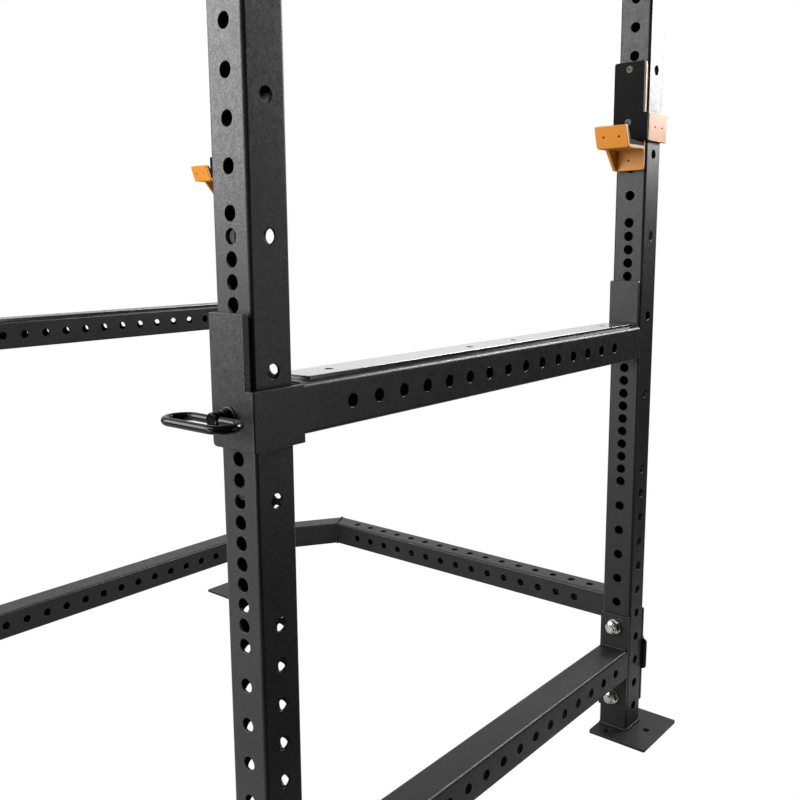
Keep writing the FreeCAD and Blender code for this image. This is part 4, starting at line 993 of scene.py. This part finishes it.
# ---------------- studio, in metres

def camera_sees(tree, seen, unseen, out_type):
    """One shader for the camera and another for all other rays, sent to the tree's output."""
    path = tree.nodes.new("ShaderNodeLightPath")
    mix = tree.nodes.new("ShaderNodeMixShader")
    tree.links.new(path.outputs["Is Camera Ray"], mix.inputs["Fac"])
    tree.links.new(unseen, mix.inputs[1])
    tree.links.new(seen, mix.inputs[2])
    out = tree.nodes.new(out_type)
    tree.links.new(mix.outputs["Shader"], out.inputs["Surface"])


def maths(tree, kind, operation, first, second):
    """A Math or Vector Math node. first is a socket; second is a socket, a value or None."""
    node = tree.nodes.new(kind)
    node.operation = operation
    tree.links.new(first, node.inputs[0])
    if isinstance(second, bpy.types.NodeSocket):
        tree.links.new(second, node.inputs[1])
    elif second is not None:
        node.inputs[1].default_value = second
    return node


def pale_floor():
    """White where it is looked at, save under the foot plates, where a painted shadow leaves it black;
    dim beyond the cage's right.
    """
    material = bpy.data.materials.new("floor")
    material.use_nodes = True
    tree = material.node_tree
    tree.nodes.clear()
    place = tree.nodes.new("ShaderNodeTexCoord")
    split = tree.nodes.new("ShaderNodeSeparateXYZ")
    tree.links.new(place.outputs["Object"], split.inputs["Vector"])
    paper = tree.nodes.new("ShaderNodeBsdfDiffuse")
    dim_from_to, greys = (0.72, 0.92), (0.4, 0.04)
    dimmed = ranged(tree, split.outputs["X"], "SMOOTHSTEP", dim_from_to, greys)
    tree.links.new(dimmed, paper.inputs["Color"])

    # How far a point is outside the nearest foot plate, by folding all four onto one. Inside a plate
    # the floor is painted black as the plate's shadow, which darkens the floor holes
    feet_middle, foot_place, foot_half = (0, 0.088, 0), (0.61, 0.485, 0), (0.055, 0.07, 1)
    spot = place.outputs["Object"]
    for operation, amount in (("ADD", feet_middle), ("ABSOLUTE", None), ("SUBTRACT", foot_place),
                              ("ABSOLUTE", None), ("SUBTRACT", foot_half)):
        spot = maths(tree, "ShaderNodeVectorMath", operation, spot, amount).outputs["Vector"]
    apart = tree.nodes.new("ShaderNodeSeparateXYZ")
    tree.links.new(spot, apart.inputs["Vector"])
    clear = maths(tree, "ShaderNodeMath", "MAXIMUM", apart.outputs["X"], apart.outputs["Y"])
    # The white glow drops to nothing under the foot plates: a painted shadow
    lit = maths(tree, "ShaderNodeMath", "GREATER_THAN", clear.outputs["Value"], 0.0)
    glow = tree.nodes.new("ShaderNodeEmission")
    tree.links.new(lit.outputs["Value"], glow.inputs["Strength"])
    camera_sees(tree, glow.outputs["Emission"], paper.outputs["BSDF"], "ShaderNodeOutputMaterial")
    return material


def studio_walls():
    """White to the camera. Reflections see walls that are pale on the left, dark on the right and
    dark near the floor."""
    world = bpy.data.worlds.new("studio")
    world.use_nodes = True
    tree = world.node_tree
    tree.nodes.clear()
    place = tree.nodes.new("ShaderNodeTexCoord")
    split = tree.nodes.new("ShaderNodeSeparateXYZ")
    tree.links.new(place.outputs["Generated"], split.inputs["Vector"])
    pale_heading = math.radians(-88)
    pale_way = (math.sin(pale_heading), math.cos(pale_heading), 0)
    aim = maths(tree, "ShaderNodeVectorMath", "DOT_PRODUCT", place.outputs["Generated"], pale_way)
    fade_from_to, fade_strengths = (0.1, 0.5), (0.14, 1.15)
    fade = ranged(tree, aim.outputs["Value"], "SMOOTHSTEP", fade_from_to, fade_strengths)
    skirt_from_to, skirt_shares = (0.055, 0.1), (0.08, 1.0)
    skirt = ranged(tree, split.outputs["Z"], "SMOOTHSTEP", skirt_from_to, skirt_shares)
    both = maths(tree, "ShaderNodeMath", "MULTIPLY", fade, skirt)
    seen = tree.nodes.new("ShaderNodeBackground")
    unseen = tree.nodes.new("ShaderNodeBackground")
    for backdrop in (seen, unseen):
        backdrop.inputs["Color"].default_value = (1, 1, 1, 1)
    tree.links.new(both.outputs["Value"], unseen.inputs["Strength"])
    camera_sees(tree, seen.outputs["Background"], unseen.outputs["Background"],
                "ShaderNodeOutputWorld")
    return world


far = 30  # from the cage to the floor's edges
floor_mesh = bpy.data.meshes.new("floor")
floor_mesh.from_pydata([(-far, -far, 0), (far, -far, 0), (far, far, 0), (-far, far, 0)], [],
                       [(0, 1, 2, 3)])
floor_mesh.materials.append(pale_floor())
floor = bpy.data.objects.new("floor", floor_mesh)
bpy.context.scene.collection.objects.link(floor)
bpy.context.scene.world = studio_walls()


def softbox(name, place, target, size, power):
    """A lamp of size (width, height) at place, turned to target; power is in watts."""
    light = bpy.data.lights.new(name, "AREA")
    light.shape = "RECTANGLE"
    light.size, light.size_y = size
    light.energy = power
    lamp = bpy.data.objects.new(name, light)
    lamp.location = place
    lamp.rotation_euler = (Vector(target) - Vector(place)).to_track_quat("-Z", "Y").to_euler()
    bpy.context.scene.collection.objects.link(lamp)


# Each lamp's name says where it stands, seen from the front of the cage
softbox("front_left", (-2.1, -3.1, 2.4), (0.3, -0.3, 1.3), (3.0, 2.7), 410)
softbox("front_strip", (-0.2, -2.7, 3.0), (0.55, -0.65, 0.8), (1.6, 0.12), 60)
softbox("front_low", (0.0, -2.7, 0.5), (0.6, 0.35, 1.1), (1.2, 0.6), 34)
softbox("rear_right", (1.29, 1.85, 2.04), (0.61, 0.4, 1.6), (0.55, 1.3), 90)
softbox("rear_edge", (0.75, 1.9, 2.4), (0.6, -0.2, 0.86), (0.7, 0.6), 60)
softbox("right_low", (2.6, 0.6, 0.6), (0.61, -0.4, 0.7), (1.2, 0.9), 12)

# The camera was solved from the photograph's rows of holes. The photograph is a crop, so the lens
# is shifted
camera = bpy.data.cameras.new("camera")
camera.sensor_width = 36
camera.lens = 41.307
camera.shift_x = 0.0218
camera.shift_y = -0.00972
eye = bpy.data.objects.new("camera", camera)
eye.location = (1.36693, -1.26927, 0.99084)
eye.rotation_euler = [math.radians(degrees) for degrees in (80.795, 0.521, 40.4894)]
bpy.context.scene.collection.objects.link(eye)
bpy.context.scene.camera = eye
bpy.context.scene.view_settings.view_transform = "Standard"
